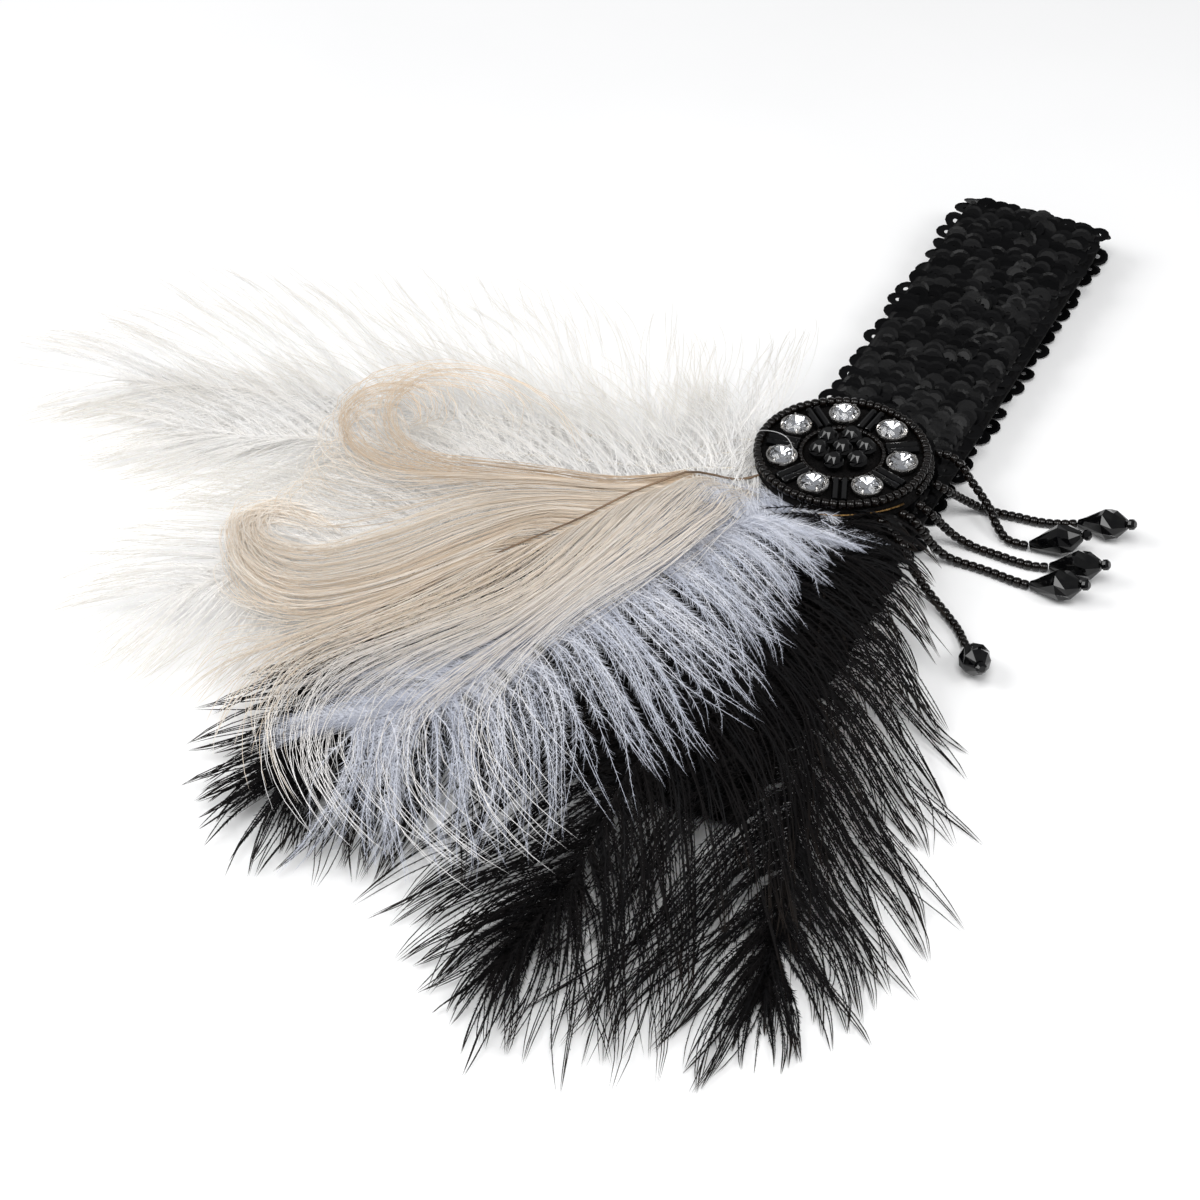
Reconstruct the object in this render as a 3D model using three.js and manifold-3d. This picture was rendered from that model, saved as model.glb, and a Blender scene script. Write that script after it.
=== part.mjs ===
import * as THREE from 'three';
import { mergeVertices } from 'three/addons/utils/BufferGeometryUtils.js';
import Module from 'manifold-3d';

// A headband with a feather plume, lying on a table. Millimetres, +Z up.
// The origin is on the table below the middle of the band's width, where the medallion sits.
// +X runs along the band to its visible fold, +Y is the side that the white feathers leave from.

// clearances
const seatGap = 0.3;
const skinTolerance = 0.04;

// the elastic band, a whole loop that lies flat
const bandFold = 135;
const bandFar = -122;
const bandWidth = 41;
const bandHeight = 11.2;
const bandWall = 2.4;

// the round medallion
const medallionY = 4;
const padRadius = 21.8;
const padTopThickness = 1.6;
const padHubRadius = 11.4;
const rimBeadRadius = 1.2;
const rimInset = 0.6;

// the stones round the medallion, as large as the rim and the beads between them leave room for
const stoneCount = 7;
const stoneFirstAngle = 20;
const stoneClearance = 0.56;
const cupWall = 0.45;
const cupTaper = 0.75;
const cupHeight = 2.1;
const crownHeight = 1.5;
const tableShare = 0.56;
const clawWidth = 0.9;

// the tube beads between the stones and the faceted beads in the middle
const bugleRadius = 0.95;
const seedRingHalfWidth = 0.6;
const flowerCount = 6;
const flowerGap = 0.4;
const flowerClearance = 1.17;
const flowerBeadHeight = 4.6;

// quills and locks of barbs
const plumeReach = 190;
const ostrichBarb = 50;
const curledBarb = 80;
const quillRadius = 1.0;
const quillTipRadius = 0.7;
const quillInset = 1.6;
const slotMargin = 9;
const lockThickness = 1.0;
const lockFill = 0.94;
const lockTipShare = 0.12;
const layerGap = 2.7;
const bandClearance = 0.6;
const layersStart = 24;
const layersFull = 44;
const drapeFlat = 5;
const drapeEnd = 34;
const firstLockRadius = 39;

// the fringe
const stringRadius = 1.2;
const dropLength = 13.2;
const dropRadius = 4.0;
const dropSides = 10;
const stopBeadRadius = 1.4;
const threadGap = 0.7;
const rimClearance = 0.44;
const tableClearance = 0.2;

const padBottom = bandHeight + seatGap;
const slotTop = padBottom + 2 * quillRadius + seatGap;
const padTop = slotTop + padTopThickness;
const halfWidth = bandWidth / 2;
const rimRadius = padRadius - rimInset;
const fieldRadius = rimRadius - rimBeadRadius - stoneClearance;
const bugleHalfWidth = 2 * bugleRadius + seatGap / 2;
const stoneShare = Math.sin(Math.PI / stoneCount);
const cupRadius = (fieldRadius * stoneShare - bugleHalfWidth - stoneClearance) / (1 + stoneShare);
const stoneRing = fieldRadius - cupRadius;
const stoneRadius = cupRadius - cupWall;
const bugleInnerRadius = stoneRing - cupRadius - seatGap - seedRingHalfWidth;
const flowerBeadRadius = (bugleInnerRadius - seedRingHalfWidth - flowerClearance - flowerGap) / 3;
const flowerRing = 2 * flowerBeadRadius + flowerGap;
const quillInner = padHubRadius + quillInset;
const stringRest = stringRadius + tableClearance;

const wasm = await Module();
wasm.setup();

const radians = THREE.MathUtils.degToRad;

function toSolid(geometry) {
  const plain = geometry.index ? geometry.toNonIndexed() : geometry.clone();
  plain.deleteAttribute('normal');
  plain.deleteAttribute('uv');
  const welded = mergeVertices(plain, 1e-4);
  return new wasm.Manifold(new wasm.Mesh({
    numProp: 3,
    vertProperties: Float32Array.from(welded.attributes.position.array),
    triVerts: Uint32Array.from(welded.index.array),
  }));
}

// Joins closed bodies. Slivers thinner than the tolerance go, and pockets that end up sealed
// between the bodies are filled: only the outer skin is kept.
function fuse(geometries) {
  const solids = geometries.map(toSolid);
  const joined = wasm.Manifold.union(solids);
  const whole = joined.simplify(skinTolerance);
  const skins = whole.decompose();
  const outer = skins.reduce((largest, skin) => (skin.volume() > largest.volume() ? skin : largest));
  const mesh = outer.getMesh();
  const geometry = new THREE.BufferGeometry();
  geometry.setAttribute('position', new THREE.BufferAttribute(Float32Array.from(mesh.vertProperties), 3));
  geometry.setIndex(new THREE.BufferAttribute(Uint32Array.from(mesh.triVerts), 1));
  geometry.computeVertexNormals();
  [...solids, ...skins, joined, whole].forEach((solid) => solid.delete());
  return geometry;
}

// A closed body through rings of equal count. Each ring turns anticlockwise seen from the last ring.
function loft(rings) {
  const count = rings[0].length;
  const positions = rings.flat().flatMap((point) => [point.x, point.y, point.z]);
  const triangles = [];
  for (let ring = 0; ring < rings.length - 1; ring += 1) {
    for (let side = 0; side < count; side += 1) {
      const a = ring * count + side;
      const b = ring * count + (side + 1) % count;
      triangles.push(a, b, b + count, a, b + count, a + count);
    }
  }
  const last = (rings.length - 1) * count;
  for (let side = 1; side < count - 1; side += 1) {
    triangles.push(0, side + 1, side);
    triangles.push(last, last + side, last + side + 1);
  }
  const geometry = new THREE.BufferGeometry();
  geometry.setAttribute('position', new THREE.Float32BufferAttribute(positions, 3));
  geometry.setIndex(triangles);
  geometry.computeVertexNormals();
  return geometry;
}

// A ring of points round the Z axis, turned by a share of one side.
function roundRing(radius, height, sides, turn = 0) {
  const ring = [];
  for (let side = 0; side < sides; side += 1) {
    const angle = 2 * Math.PI * (side + turn) / sides;
    ring.push(new THREE.Vector3(radius * Math.cos(angle), radius * Math.sin(angle), height));
  }
  return ring;
}

function smoothShare(from, to, value) {
  return THREE.MathUtils.smoothstep(value, from, to);
}

function addPiece(group, name, geometry, look) {
  const material = new THREE.MeshStandardMaterial(look);
  const mesh = new THREE.Mesh(geometry, material);
  mesh.name = name;
  group.add(mesh);
  return mesh;
}

// Looks
const looks = {
  sequins: { color: 0x0c0c0e, roughness: 0.35, metalness: 0.1 },
  padCloth: { color: 0x15120f, roughness: 0.9, metalness: 0 },
  jet: { color: 0x0b0b0d, roughness: 0.15, metalness: 0.1 },
  crystal: { color: 0xe8ecf0, roughness: 0.05, metalness: 0.3 },
  white: { color: 0xf1f0ee, roughness: 0.85, metalness: 0 },
  ivory: { color: 0xe6d8c2, roughness: 0.8, metalness: 0 },
  grey: { color: 0xd5d5dd, roughness: 0.85, metalness: 0 },
  black: { color: 0x17161a, roughness: 0.8, metalness: 0 },
};

// The band: a flat loop drawn from the side, as wide as the elastic with its sequins.
function loopOutline(path, inset) {
  const radius = bandHeight / 2 - inset;
  const middle = bandHeight / 2;
  path.moveTo(bandFar + bandHeight / 2, inset);
  path.lineTo(bandFold - bandHeight / 2, inset);
  path.absarc(bandFold - bandHeight / 2, middle, radius, -Math.PI / 2, Math.PI / 2, false);
  path.lineTo(bandFar + bandHeight / 2, bandHeight - inset);
  path.absarc(bandFar + bandHeight / 2, middle, radius, Math.PI / 2, 3 * Math.PI / 2, false);
  return path;
}

function bandGeometry() {
  const outline = loopOutline(new THREE.Shape(), 0);
  outline.holes.push(loopOutline(new THREE.Path(), bandWall));
  const geometry = new THREE.ExtrudeGeometry(outline, { depth: bandWidth, bevelEnabled: false, curveSegments: 8 });
  geometry.rotateX(Math.PI / 2);
  geometry.translate(0, halfWidth, 0);
  return geometry;
}

// The feathers, one row each. leave and toward are headings in degrees, reach is a share of the
// plume's reach, left and right are shares of the barb length. The left barbs are on the side of
// growing headings.
const feathers = [
  {
    name: 'white_ostrich_1', kind: 'ostrich', look: 'white', layer: 0,
    leave: 87, toward: 100, reach: 1.00, left: 1.00, right: 1.24,
  },
  {
    name: 'white_ostrich_2', kind: 'ostrich', look: 'white', layer: 1,
    leave: 101, toward: 107, reach: 0.885, left: 0.92, right: 1.00,
  },
  {
    name: 'white_ostrich_3', kind: 'ostrich', look: 'white', layer: 3,
    leave: 115, toward: 131, reach: 0.885, left: 0.96, right: 0.92,
  },
  {
    name: 'peacock_feather', kind: 'curled', look: 'ivory', layer: 5,
    leave: 130, toward: 146, reach: 0.79, left: 0.925, right: 1.05,
  },
  {
    name: 'black_ostrich_3', kind: 'ostrich', look: 'black', layer: 2,
    leave: 147, toward: 155, reach: 0.905, left: 1.00, right: 0.88,
  },
  {
    name: 'grey_ostrich', kind: 'hanging', look: 'grey', layer: 4,
    leave: 170, toward: 155, reach: 0.80, left: 1.08, right: 0.80,
  },
  {
    name: 'black_ostrich_2', kind: 'ostrich', look: 'black', layer: 1,
    leave: 184, toward: 179, reach: 0.947, left: 1.00, right: 0.96,
  },
  {
    name: 'black_ostrich_1', kind: 'ostrich', look: 'black', layer: 0,
    leave: 198, toward: 197, reach: 0.905, left: 0.92, right: 0.92,
  },
];

// How the locks of a vane grow: along is the share of the vane, length the share of the barb length,
// start and end the angles in degrees between quill and lock at its root and at its tip.
const ostrichVane = [
  { along: 0.00, length: 0.62, start: 64, end: 42 },
  { along: 0.25, length: 0.92, start: 58, end: 36 },
  { along: 0.50, length: 1.00, start: 52, end: 31 },
  { along: 0.75, length: 0.88, start: 42, end: 23 },
  { along: 1.00, length: 0.60, start: 20, end: 12 },
];
const hangingVane = [
  { along: 0.00, length: 0.46, start: 98, end: 84 },
  { along: 0.25, length: 0.72, start: 92, end: 78 },
  { along: 0.50, length: 1.00, start: 88, end: 73 },
  { along: 0.75, length: 0.98, start: 80, end: 66 },
  { along: 1.00, length: 0.80, start: 58, end: 46 },
];
const curledLeftVane = [
  { along: 0.00, length: 0.60, start: 40, end: 62 },
  { along: 0.40, length: 0.94, start: 30, end: 72 },
  { along: 0.70, length: 0.92, start: 24, end: 84 },
  { along: 1.00, length: 0.60, start: 16, end: 84 },
];
const curledRightVane = [
  { along: 0.00, length: 0.74, start: 42, end: 112 },
  { along: 0.40, length: 1.00, start: 32, end: 132 },
  { along: 0.70, length: 0.86, start: 28, end: 140 },
  { along: 1.00, length: 0.46, start: 16, end: 110 },
];
const vanes = {
  ostrich: { left: ostrichVane, right: ostrichVane, barb: ostrichBarb, locks: 9, steps: 3 },
  hanging: { left: hangingVane, right: ostrichVane, barb: ostrichBarb, locks: 9, steps: 3 },
  curled: { left: curledLeftVane, right: curledRightVane, barb: curledBarb, locks: 9, steps: 5 },
};
const bareQuillSteps = 6;
const quillTipLength = 16;

function onMedallion(radius, heading) {
  const angle = radians(heading);
  return new THREE.Vector2(radius * Math.cos(angle), medallionY + radius * Math.sin(angle));
}

// How far a place in plan lies outside the band.
function outsideBand(x, y) {
  const along = Math.max(bandFar - x, 0, x - bandFold);
  const across = Math.max(Math.abs(y) - halfWidth, 0);
  return Math.hypot(along, across);
}

// The underside of a layer: on the band, then down to the table beside it.
function layerHeight(layer, x, y) {
  const drape = 1 - smoothShare(drapeFlat, drapeEnd, outsideBand(x, y));
  const spread = smoothShare(layersStart, layersFull, Math.hypot(x, y - medallionY));
  return padBottom * drape + (bandClearance * drape + layer * layerGap) * spread;
}

function quillCurve(feather) {
  const reach = plumeReach * feather.reach;
  return new THREE.QuadraticBezierCurve(
    onMedallion(quillInner, feather.leave),
    onMedallion(0.48 * reach, feather.leave),
    onMedallion(reach, feather.toward),
  );
}

// A table's row between its rows, by the share along the vane.
function rowAt(table, along) {
  const next = Math.max(1, table.findIndex((row) => row.along >= along));
  const before = table[next - 1];
  const after = table[next];
  const share = (along - before.along) / (after.along - before.along);
  const row = {};
  for (const column of Object.keys(before)) {
    row[column] = THREE.MathUtils.lerp(before[column], after[column], share);
  }
  return row;
}

// A feather is one closed skin: a six-sided quill whose side walls open into flat tapered locks.
// A quill section is keel, left under, left over, ridge, right over, right under.
function featherGeometry(feather) {
  const curve = quillCurve(feather);
  const vane = vanes[feather.kind];
  const bareShare = (firstLockRadius - quillInner) / curve.getLength();
  const positions = [];
  const triangles = [];

  function addPoint(x, y, above) {
    positions.push(x, y, layerHeight(feather.layer, x, y) + above);
    return positions.length / 3 - 1;
  }

  function addQuad(side, a, b, c, d) {
    const corners = side > 0 ? [a, b, c, d] : [d, c, b, a];
    triangles.push(corners[0], corners[1], corners[2], corners[0], corners[2], corners[3]);
  }

  function quillSection(share, radius, stretch = 0) {
    const ahead = curve.getTangentAt(share);
    const place = curve.getPointAt(share).addScaledVector(ahead, stretch);
    const under = radius - lockThickness / 2;
    const over = radius + lockThickness / 2;
    const leftX = place.x - ahead.y * radius;
    const leftY = place.y + ahead.x * radius;
    const rightX = place.x + ahead.y * radius;
    const rightY = place.y - ahead.x * radius;
    return {
      heading: ahead.angle(),
      place,
      under,
      points: [
        addPoint(place.x, place.y, 0),
        addPoint(leftX, leftY, under),
        addPoint(leftX, leftY, over),
        addPoint(place.x, place.y, 2 * radius),
        addPoint(rightX, rightY, over),
        addPoint(rightX, rightY, under),
      ],
    };
  }

  function addLock(from, to, side, row, barb, spacing) {
    const under = (from.under + to.under) / 2;
    const middle = from.place.clone().add(to.place).multiplyScalar(0.5);
    const columns = side > 0 ? [1, 2] : [5, 4];
    let behind = columns.map((column) => from.points[column]);
    let ahead = columns.map((column) => to.points[column]);
    for (let step = 1; step <= vane.steps; step += 1) {
      const part = step / vane.steps;
      const turn = radians(THREE.MathUtils.lerp(row.start, row.end, part));
      const heading = from.heading + side * turn;
      const outward = new THREE.Vector2(Math.cos(heading), Math.sin(heading));
      middle.addScaledVector(outward, barb * row.length / vane.steps);
      const taper = 1 - (1 - lockTipShare) * part ** 3;
      const half = spacing * Math.sin(turn) * lockFill * taper / 2;
      const forwardX = side * outward.y * half;
      const forwardY = -side * outward.x * half;
      const over = under + lockThickness * (1 - 0.4 * part);
      const nextBehind = [under, over].map((above) => addPoint(middle.x - forwardX, middle.y - forwardY, above));
      const nextAhead = [under, over].map((above) => addPoint(middle.x + forwardX, middle.y + forwardY, above));
      addQuad(side, behind[1], ahead[1], nextAhead[1], nextBehind[1]);
      addQuad(side, ahead[0], behind[0], nextBehind[0], nextAhead[0]);
      addQuad(side, behind[0], behind[1], nextBehind[1], nextBehind[0]);
      addQuad(side, ahead[1], ahead[0], nextAhead[0], nextAhead[1]);
      behind = nextBehind;
      ahead = nextAhead;
    }
    addQuad(side, behind[1], ahead[1], ahead[0], behind[0]);
  }

  const sections = [];
  for (let step = 0; step < bareQuillSteps; step += 1) {
    sections.push(quillSection(bareShare * step / bareQuillSteps, quillRadius));
  }
  for (let lock = 0; lock <= vane.locks; lock += 1) {
    const along = lock / vane.locks;
    const radius = THREE.MathUtils.lerp(quillRadius, quillTipRadius, along);
    sections.push(quillSection(THREE.MathUtils.lerp(bareShare, 1, along), radius));
  }
  sections.push(quillSection(1, quillTipRadius, quillTipLength));

  const spacing = curve.getLength() * (1 - bareShare) / vane.locks;
  for (let index = 0; index < sections.length - 1; index += 1) {
    const from = sections[index];
    const to = sections[index + 1];
    const lock = index - bareQuillSteps;
    const bare = lock < 0 || lock >= vane.locks;
    for (let side = 0; side < 6; side += 1) {
      const next = (side + 1) % 6;
      const isWall = side === 1 || side === 4;
      if (bare || !isWall) {
        addQuad(1, from.points[side], from.points[next], to.points[next], to.points[side]);
      }
    }
    if (!bare) {
      const along = (lock + 0.5) / vane.locks;
      addLock(from, to, 1, rowAt(vane.left, along), vane.barb * feather.left, spacing);
      addLock(from, to, -1, rowAt(vane.right, along), vane.barb * feather.right, spacing);
    }
  }
  const first = sections[0].points;
  const last = sections[sections.length - 1].points;
  for (let corner = 1; corner < 5; corner += 1) {
    triangles.push(first[0], first[corner + 1], first[corner]);
    triangles.push(last[0], last[corner], last[corner + 1]);
  }

  const geometry = new THREE.BufferGeometry();
  geometry.setAttribute('position', new THREE.Float32BufferAttribute(positions, 3));
  geometry.setIndex(triangles);
  geometry.computeVertexNormals();
  return geometry;
}

// The pad: a round backing whose lower half is cut away where the quills enter.
function padGeometry() {
  const slotFrom = radians(Math.min(...feathers.map((feather) => feather.leave)) - slotMargin);
  const slotTo = radians(Math.max(...feathers.map((feather) => feather.leave)) + slotMargin);
  const foot = new THREE.Shape();
  foot.absarc(0, 0, padRadius, slotTo, slotFrom + 2 * Math.PI, false);
  foot.absarc(0, 0, padHubRadius, slotFrom, slotTo, false);
  foot.closePath();
  const footHeight = slotTop - padBottom;
  const lower = new THREE.ExtrudeGeometry(foot, { depth: footHeight, bevelEnabled: false, curveSegments: 18 });
  const upper = new THREE.CylinderGeometry(padRadius, padRadius, padTopThickness, 36);
  upper.rotateX(Math.PI / 2);
  upper.translate(0, 0, footHeight + padTopThickness / 2);
  return fuse([lower, upper]);
}

function rimGeometry() {
  const sides = 8;
  const profile = [];
  for (let side = 0; side <= sides; side += 1) {
    const angle = 2 * Math.PI * side / sides;
    profile.push(new THREE.Vector2(
      rimRadius + rimBeadRadius * Math.cos(angle),
      rimBeadRadius * Math.sin(angle),
    ));
  }
  const geometry = new THREE.LatheGeometry(profile, 36);
  geometry.rotateX(Math.PI / 2);
  return geometry;
}

// A stone and its setting in one body: cup, cut stone with a table, four claws.
function rhinestoneGeometry() {
  const sides = 8;
  const pieces = [loft([
    roundRing(cupRadius - cupTaper, 0, sides),
    roundRing(cupRadius, cupHeight * 0.8, sides),
    roundRing(stoneRadius, cupHeight, sides),
    roundRing(stoneRadius * 0.8, cupHeight + crownHeight * 0.6, sides, 0.5),
    roundRing(stoneRadius * tableShare, cupHeight + crownHeight, sides),
  ])];
  for (let claw = 0; claw < 4; claw += 1) {
    const height = cupHeight + crownHeight * 0.45;
    const box = new THREE.BoxGeometry(2 * clawWidth, clawWidth, height);
    box.translate(cupRadius - clawWidth, 0, seatGap + height / 2);
    box.rotateZ(Math.PI / 2 * (claw + 0.5));
    pieces.push(box);
  }
  return fuse(pieces);
}

function flowerBeadGeometry() {
  const sides = 8;
  const half = flowerBeadHeight / 2;
  return loft([
    roundRing(flowerBeadRadius * 0.45, -half, sides),
    roundRing(flowerBeadRadius * 0.9, -half * 0.45, sides, 0.5),
    roundRing(flowerBeadRadius, 0, sides),
    roundRing(flowerBeadRadius * 0.9, half * 0.45, sides, 0.5),
    roundRing(flowerBeadRadius * 0.45, half, sides),
  ]);
}

// Pairs of tube beads between the stones, which start from one ring of small beads.
function bugleGeometry() {
  const ring = new THREE.LatheGeometry([
    new THREE.Vector2(bugleInnerRadius - seedRingHalfWidth, 0),
    new THREE.Vector2(bugleInnerRadius + seedRingHalfWidth, 0),
    new THREE.Vector2(bugleInnerRadius + seedRingHalfWidth, 2 * seedRingHalfWidth),
    new THREE.Vector2(bugleInnerRadius - seedRingHalfWidth, 2 * seedRingHalfWidth),
    new THREE.Vector2(bugleInnerRadius - seedRingHalfWidth, 0),
  ], 28);
  ring.rotateX(Math.PI / 2);
  const pieces = [ring];
  const length = fieldRadius - bugleInnerRadius;
  for (let index = 0; index < stoneCount; index += 1) {
    const between = stoneFirstAngle + 360 * (index + 0.5) / stoneCount;
    for (const side of [-1, 1]) {
      const tube = new THREE.CylinderGeometry(bugleRadius, bugleRadius, length, 6);
      tube.rotateZ(Math.PI / 2);
      tube.translate(bugleInnerRadius + length / 2, side * (bugleRadius + seatGap / 2), bugleRadius);
      tube.rotateZ(radians(between));
      pieces.push(tube);
    }
  }
  return fuse(pieces);
}

// The fringe. start is the heading in degrees at which a string leaves the rim, heading the one in
// which its drop lies. The route goes over the band's edge to the table: x, the way beyond the
// band's edge, and the lift off the table as a share of the band's height.
const fringe = [
  {
    start: 305,
    heading: 286,
    route: [
      [14.6, -1.0, 1.06], [14.2, 2.3, 0.91], [13.3, 4.9, 0.69], [11.7, 8.7, 0.45], [9.1, 12.4, 0.29],
      [5.9, 15.5, 0.13], [3.2, 19.3, 0.03], [3.2, 24.7, 0.01],
    ],
  },
  {
    start: 275,
    heading: 266,
    route: [
      [3.6, 2.2, 0.89], [6.8, 4.3, 0.57], [10.2, 7.1, 0.23], [12.2, 9.9, 0.02], [12.7, 13.9, 0.00],
      [13.2, 18.5, 0.00], [13.6, 23.5, 0.00], [15.0, 28.5, 0.00], [16.9, 32.8, 0.01],
    ],
  },
  {
    start: 253,
    heading: 272,
    route: [
      [-7.1, 2.1, 0.91], [-5.0, 4.2, 0.57], [-3.2, 7.9, 0.18], [-2.7, 12.7, 0.00], [-3.2, 18.5, 0.00],
      [-3.6, 23.7, 0.00], [-3.4, 28.5, 0.00], [-2.4, 32.1, 0.01],
    ],
  },
  {
    start: 239,
    heading: 269,
    route: [
      [-13.4, 0.3, 1.04], [-13.1, 2.5, 0.80], [-12.0, 4.5, 0.48], [-10.8, 7.5, 0.16], [-9.9, 11.1, 0.01],
      [-9.9, 16.0, 0.00], [-10.3, 21.1, 0.00], [-10.9, 26.1, 0.00], [-11.1, 30.2, 0.01],
    ],
  },
  {
    start: 225,
    heading: 214,
    route: [
      [-20.0, -3.0, 1.06], [-23.0, 1.1, 1.01], [-25.4, 4.1, 0.80], [-27.0, 7.5, 0.50], [-28.2, 11.3, 0.23],
      [-30.4, 15.9, 0.04], [-34.2, 20.5, 0.00], [-39.2, 24.4, 0.01],
    ],
  },
];

function stringRoute(strand) {
  const start = onMedallion(rimRadius + rimBeadRadius + rimClearance + stringRadius, strand.start);
  const points = [new THREE.Vector3(start.x, start.y, bandHeight + 2 * stringRadius)];
  for (const [x, beyond, lift] of strand.route) {
    points.push(new THREE.Vector3(x, -halfWidth - beyond, stringRest + lift * bandHeight));
  }
  return points;
}

function stringGeometry(points) {
  const curve = new THREE.CatmullRomCurve3(points, false, 'centripetal');
  const section = new THREE.Shape();
  section.absarc(0, 0, stringRadius, 0, 2 * Math.PI, false);
  const steps = Math.round(curve.getLength() / (4.8 * stringRadius));
  return new THREE.ExtrudeGeometry(section, {
    steps,
    extrudePath: curve,
    bevelEnabled: false,
    curveSegments: 4,
  });
}

// The faceted teardrop along +Z, narrow end first. at is the share of the length.
const dropSections = [
  { at: 0.00, radius: 0.30, turn: 0 },
  { at: 0.20, radius: 0.52, turn: 0.5 },
  { at: 0.60, radius: 1.00, turn: 0 },
  { at: 0.80, radius: 0.86, turn: 0.5 },
  { at: 1.00, radius: 0.34, turn: 0 },
];

function dropGeometry() {
  return loft(dropSections.map((section) => (
    roundRing(dropRadius * section.radius, dropLength * section.at, dropSides, section.turn)
  )));
}

function stopBeadGeometry() {
  return loft([
    roundRing(stopBeadRadius * 0.6, -stopBeadRadius * 0.75, dropSides),
    roundRing(stopBeadRadius, -stopBeadRadius * 0.3, dropSides),
    roundRing(stopBeadRadius, stopBeadRadius * 0.3, dropSides),
    roundRing(stopBeadRadius * 0.6, stopBeadRadius * 0.75, dropSides),
  ]);
}

// A drop rests on its widest section and its narrow end, so it tilts up toward its heading.
const widest = dropSections.find((section) => section.radius === 1);
const dropTilt = Math.asin(dropRadius * (1 - dropSections[0].radius) / (widest.at * dropLength));

function layAlong(mesh, start, heading, distance) {
  const flat = Math.cos(dropTilt);
  const ahead = new THREE.Vector3(
    flat * Math.cos(radians(heading)),
    flat * Math.sin(radians(heading)),
    Math.sin(dropTilt),
  );
  mesh.quaternion.setFromUnitVectors(new THREE.Vector3(0, 0, 1), ahead);
  mesh.position.copy(start).addScaledVector(ahead, distance);
}

const fascinator = new THREE.Group();

addPiece(fascinator, 'sequin_band', bandGeometry(), looks.sequins);

const medallion = new THREE.Group();
medallion.position.set(0, medallionY, 0);
fascinator.add(medallion);

addPiece(medallion, 'medallion_pad', padGeometry(), looks.padCloth).position.z = padBottom;
const seatHeight = padTop + seatGap;
addPiece(medallion, 'rim_beads', rimGeometry(), looks.jet).position.z = seatHeight + rimBeadRadius;

for (let index = 0; index < stoneCount; index += 1) {
  const angle = radians(stoneFirstAngle + 360 * index / stoneCount);
  const stone = addPiece(medallion, `rhinestone_${index + 1}`, rhinestoneGeometry(), looks.crystal);
  stone.position.set(stoneRing * Math.cos(angle), stoneRing * Math.sin(angle), seatHeight);
  stone.rotation.z = angle;
}

addPiece(medallion, 'bugle_beads', bugleGeometry(), looks.jet).position.z = seatHeight;

for (let index = 0; index <= flowerCount; index += 1) {
  const bead = addPiece(medallion, `flower_bead_${index}`, flowerBeadGeometry(), looks.jet);
  const radius = index === 0 ? 0 : flowerRing;
  const angle = 2 * Math.PI * index / flowerCount;
  bead.position.set(radius * Math.cos(angle), radius * Math.sin(angle), seatHeight + flowerBeadHeight / 2);
}

for (const feather of feathers) {
  addPiece(fascinator, feather.name, featherGeometry(feather), looks[feather.look]);
}

fringe.forEach((strand, index) => {
  const number = index + 1;
  const points = stringRoute(strand);
  addPiece(fascinator, `fringe_string_${number}`, stringGeometry(points), looks.jet);
  const dropFoot = points[points.length - 1].clone();
  dropFoot.z = dropRadius * dropSections[0].radius + seatGap;
  const drop = addPiece(fascinator, `drop_bead_${number}`, dropGeometry(), looks.jet);
  layAlong(drop, dropFoot, strand.heading, threadGap);
  const stop = addPiece(fascinator, `stop_bead_${number}`, stopBeadGeometry(), looks.jet);
  layAlong(stop, dropFoot, strand.heading, threadGap + dropLength + seatGap + stopBeadRadius * 0.75);
});

export default fascinator;
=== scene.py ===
import math

import bmesh
import bpy
import numpy as np
from mathutils import Matrix, Vector


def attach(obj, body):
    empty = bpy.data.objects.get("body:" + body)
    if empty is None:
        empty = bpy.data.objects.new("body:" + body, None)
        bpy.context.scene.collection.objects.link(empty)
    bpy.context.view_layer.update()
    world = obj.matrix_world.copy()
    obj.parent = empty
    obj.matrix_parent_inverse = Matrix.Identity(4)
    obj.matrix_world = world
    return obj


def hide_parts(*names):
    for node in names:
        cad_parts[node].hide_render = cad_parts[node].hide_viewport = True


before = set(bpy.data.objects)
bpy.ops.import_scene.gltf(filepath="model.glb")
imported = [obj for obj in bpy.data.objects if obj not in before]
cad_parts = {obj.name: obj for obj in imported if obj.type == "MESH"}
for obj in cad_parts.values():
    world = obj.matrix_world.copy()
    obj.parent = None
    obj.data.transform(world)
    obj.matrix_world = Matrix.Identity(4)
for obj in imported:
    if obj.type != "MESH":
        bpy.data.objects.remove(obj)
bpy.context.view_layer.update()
mm = 0.001


def linkObject(name, data):
    item = bpy.data.objects.new(name, data)
    bpy.context.scene.collection.objects.link(item)
    return item


# camera: the photographer stands beyond the fringe, looking down over the medallion
view = {"place": (-0.6352, -0.2319, 0.535), "aim": (-0.0598, 0.0426, 0.0), "lens": 102}

cameraData = bpy.data.cameras.new("camera")
cameraData.lens = view["lens"]
cameraData.sensor_width = 36
camera = linkObject("camera", cameraData)
camera.location = view["place"]
camera.rotation_euler = (Vector(view["aim"]) - Vector(view["place"])).to_track_quat("-Z", "Y").to_euler()
bpy.context.scene.camera = camera
print("camera placed")


# materials

def newMaterial(name):
    material = bpy.data.materials.new(name)
    material.use_nodes = True
    nodes = material.node_tree.nodes
    return material, nodes, material.node_tree.links, nodes["Principled BSDF"]


def setSockets(shader, **values):
    for name, value in values.items():
        shader.inputs[name.replace("_", " ")].default_value = value


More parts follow.
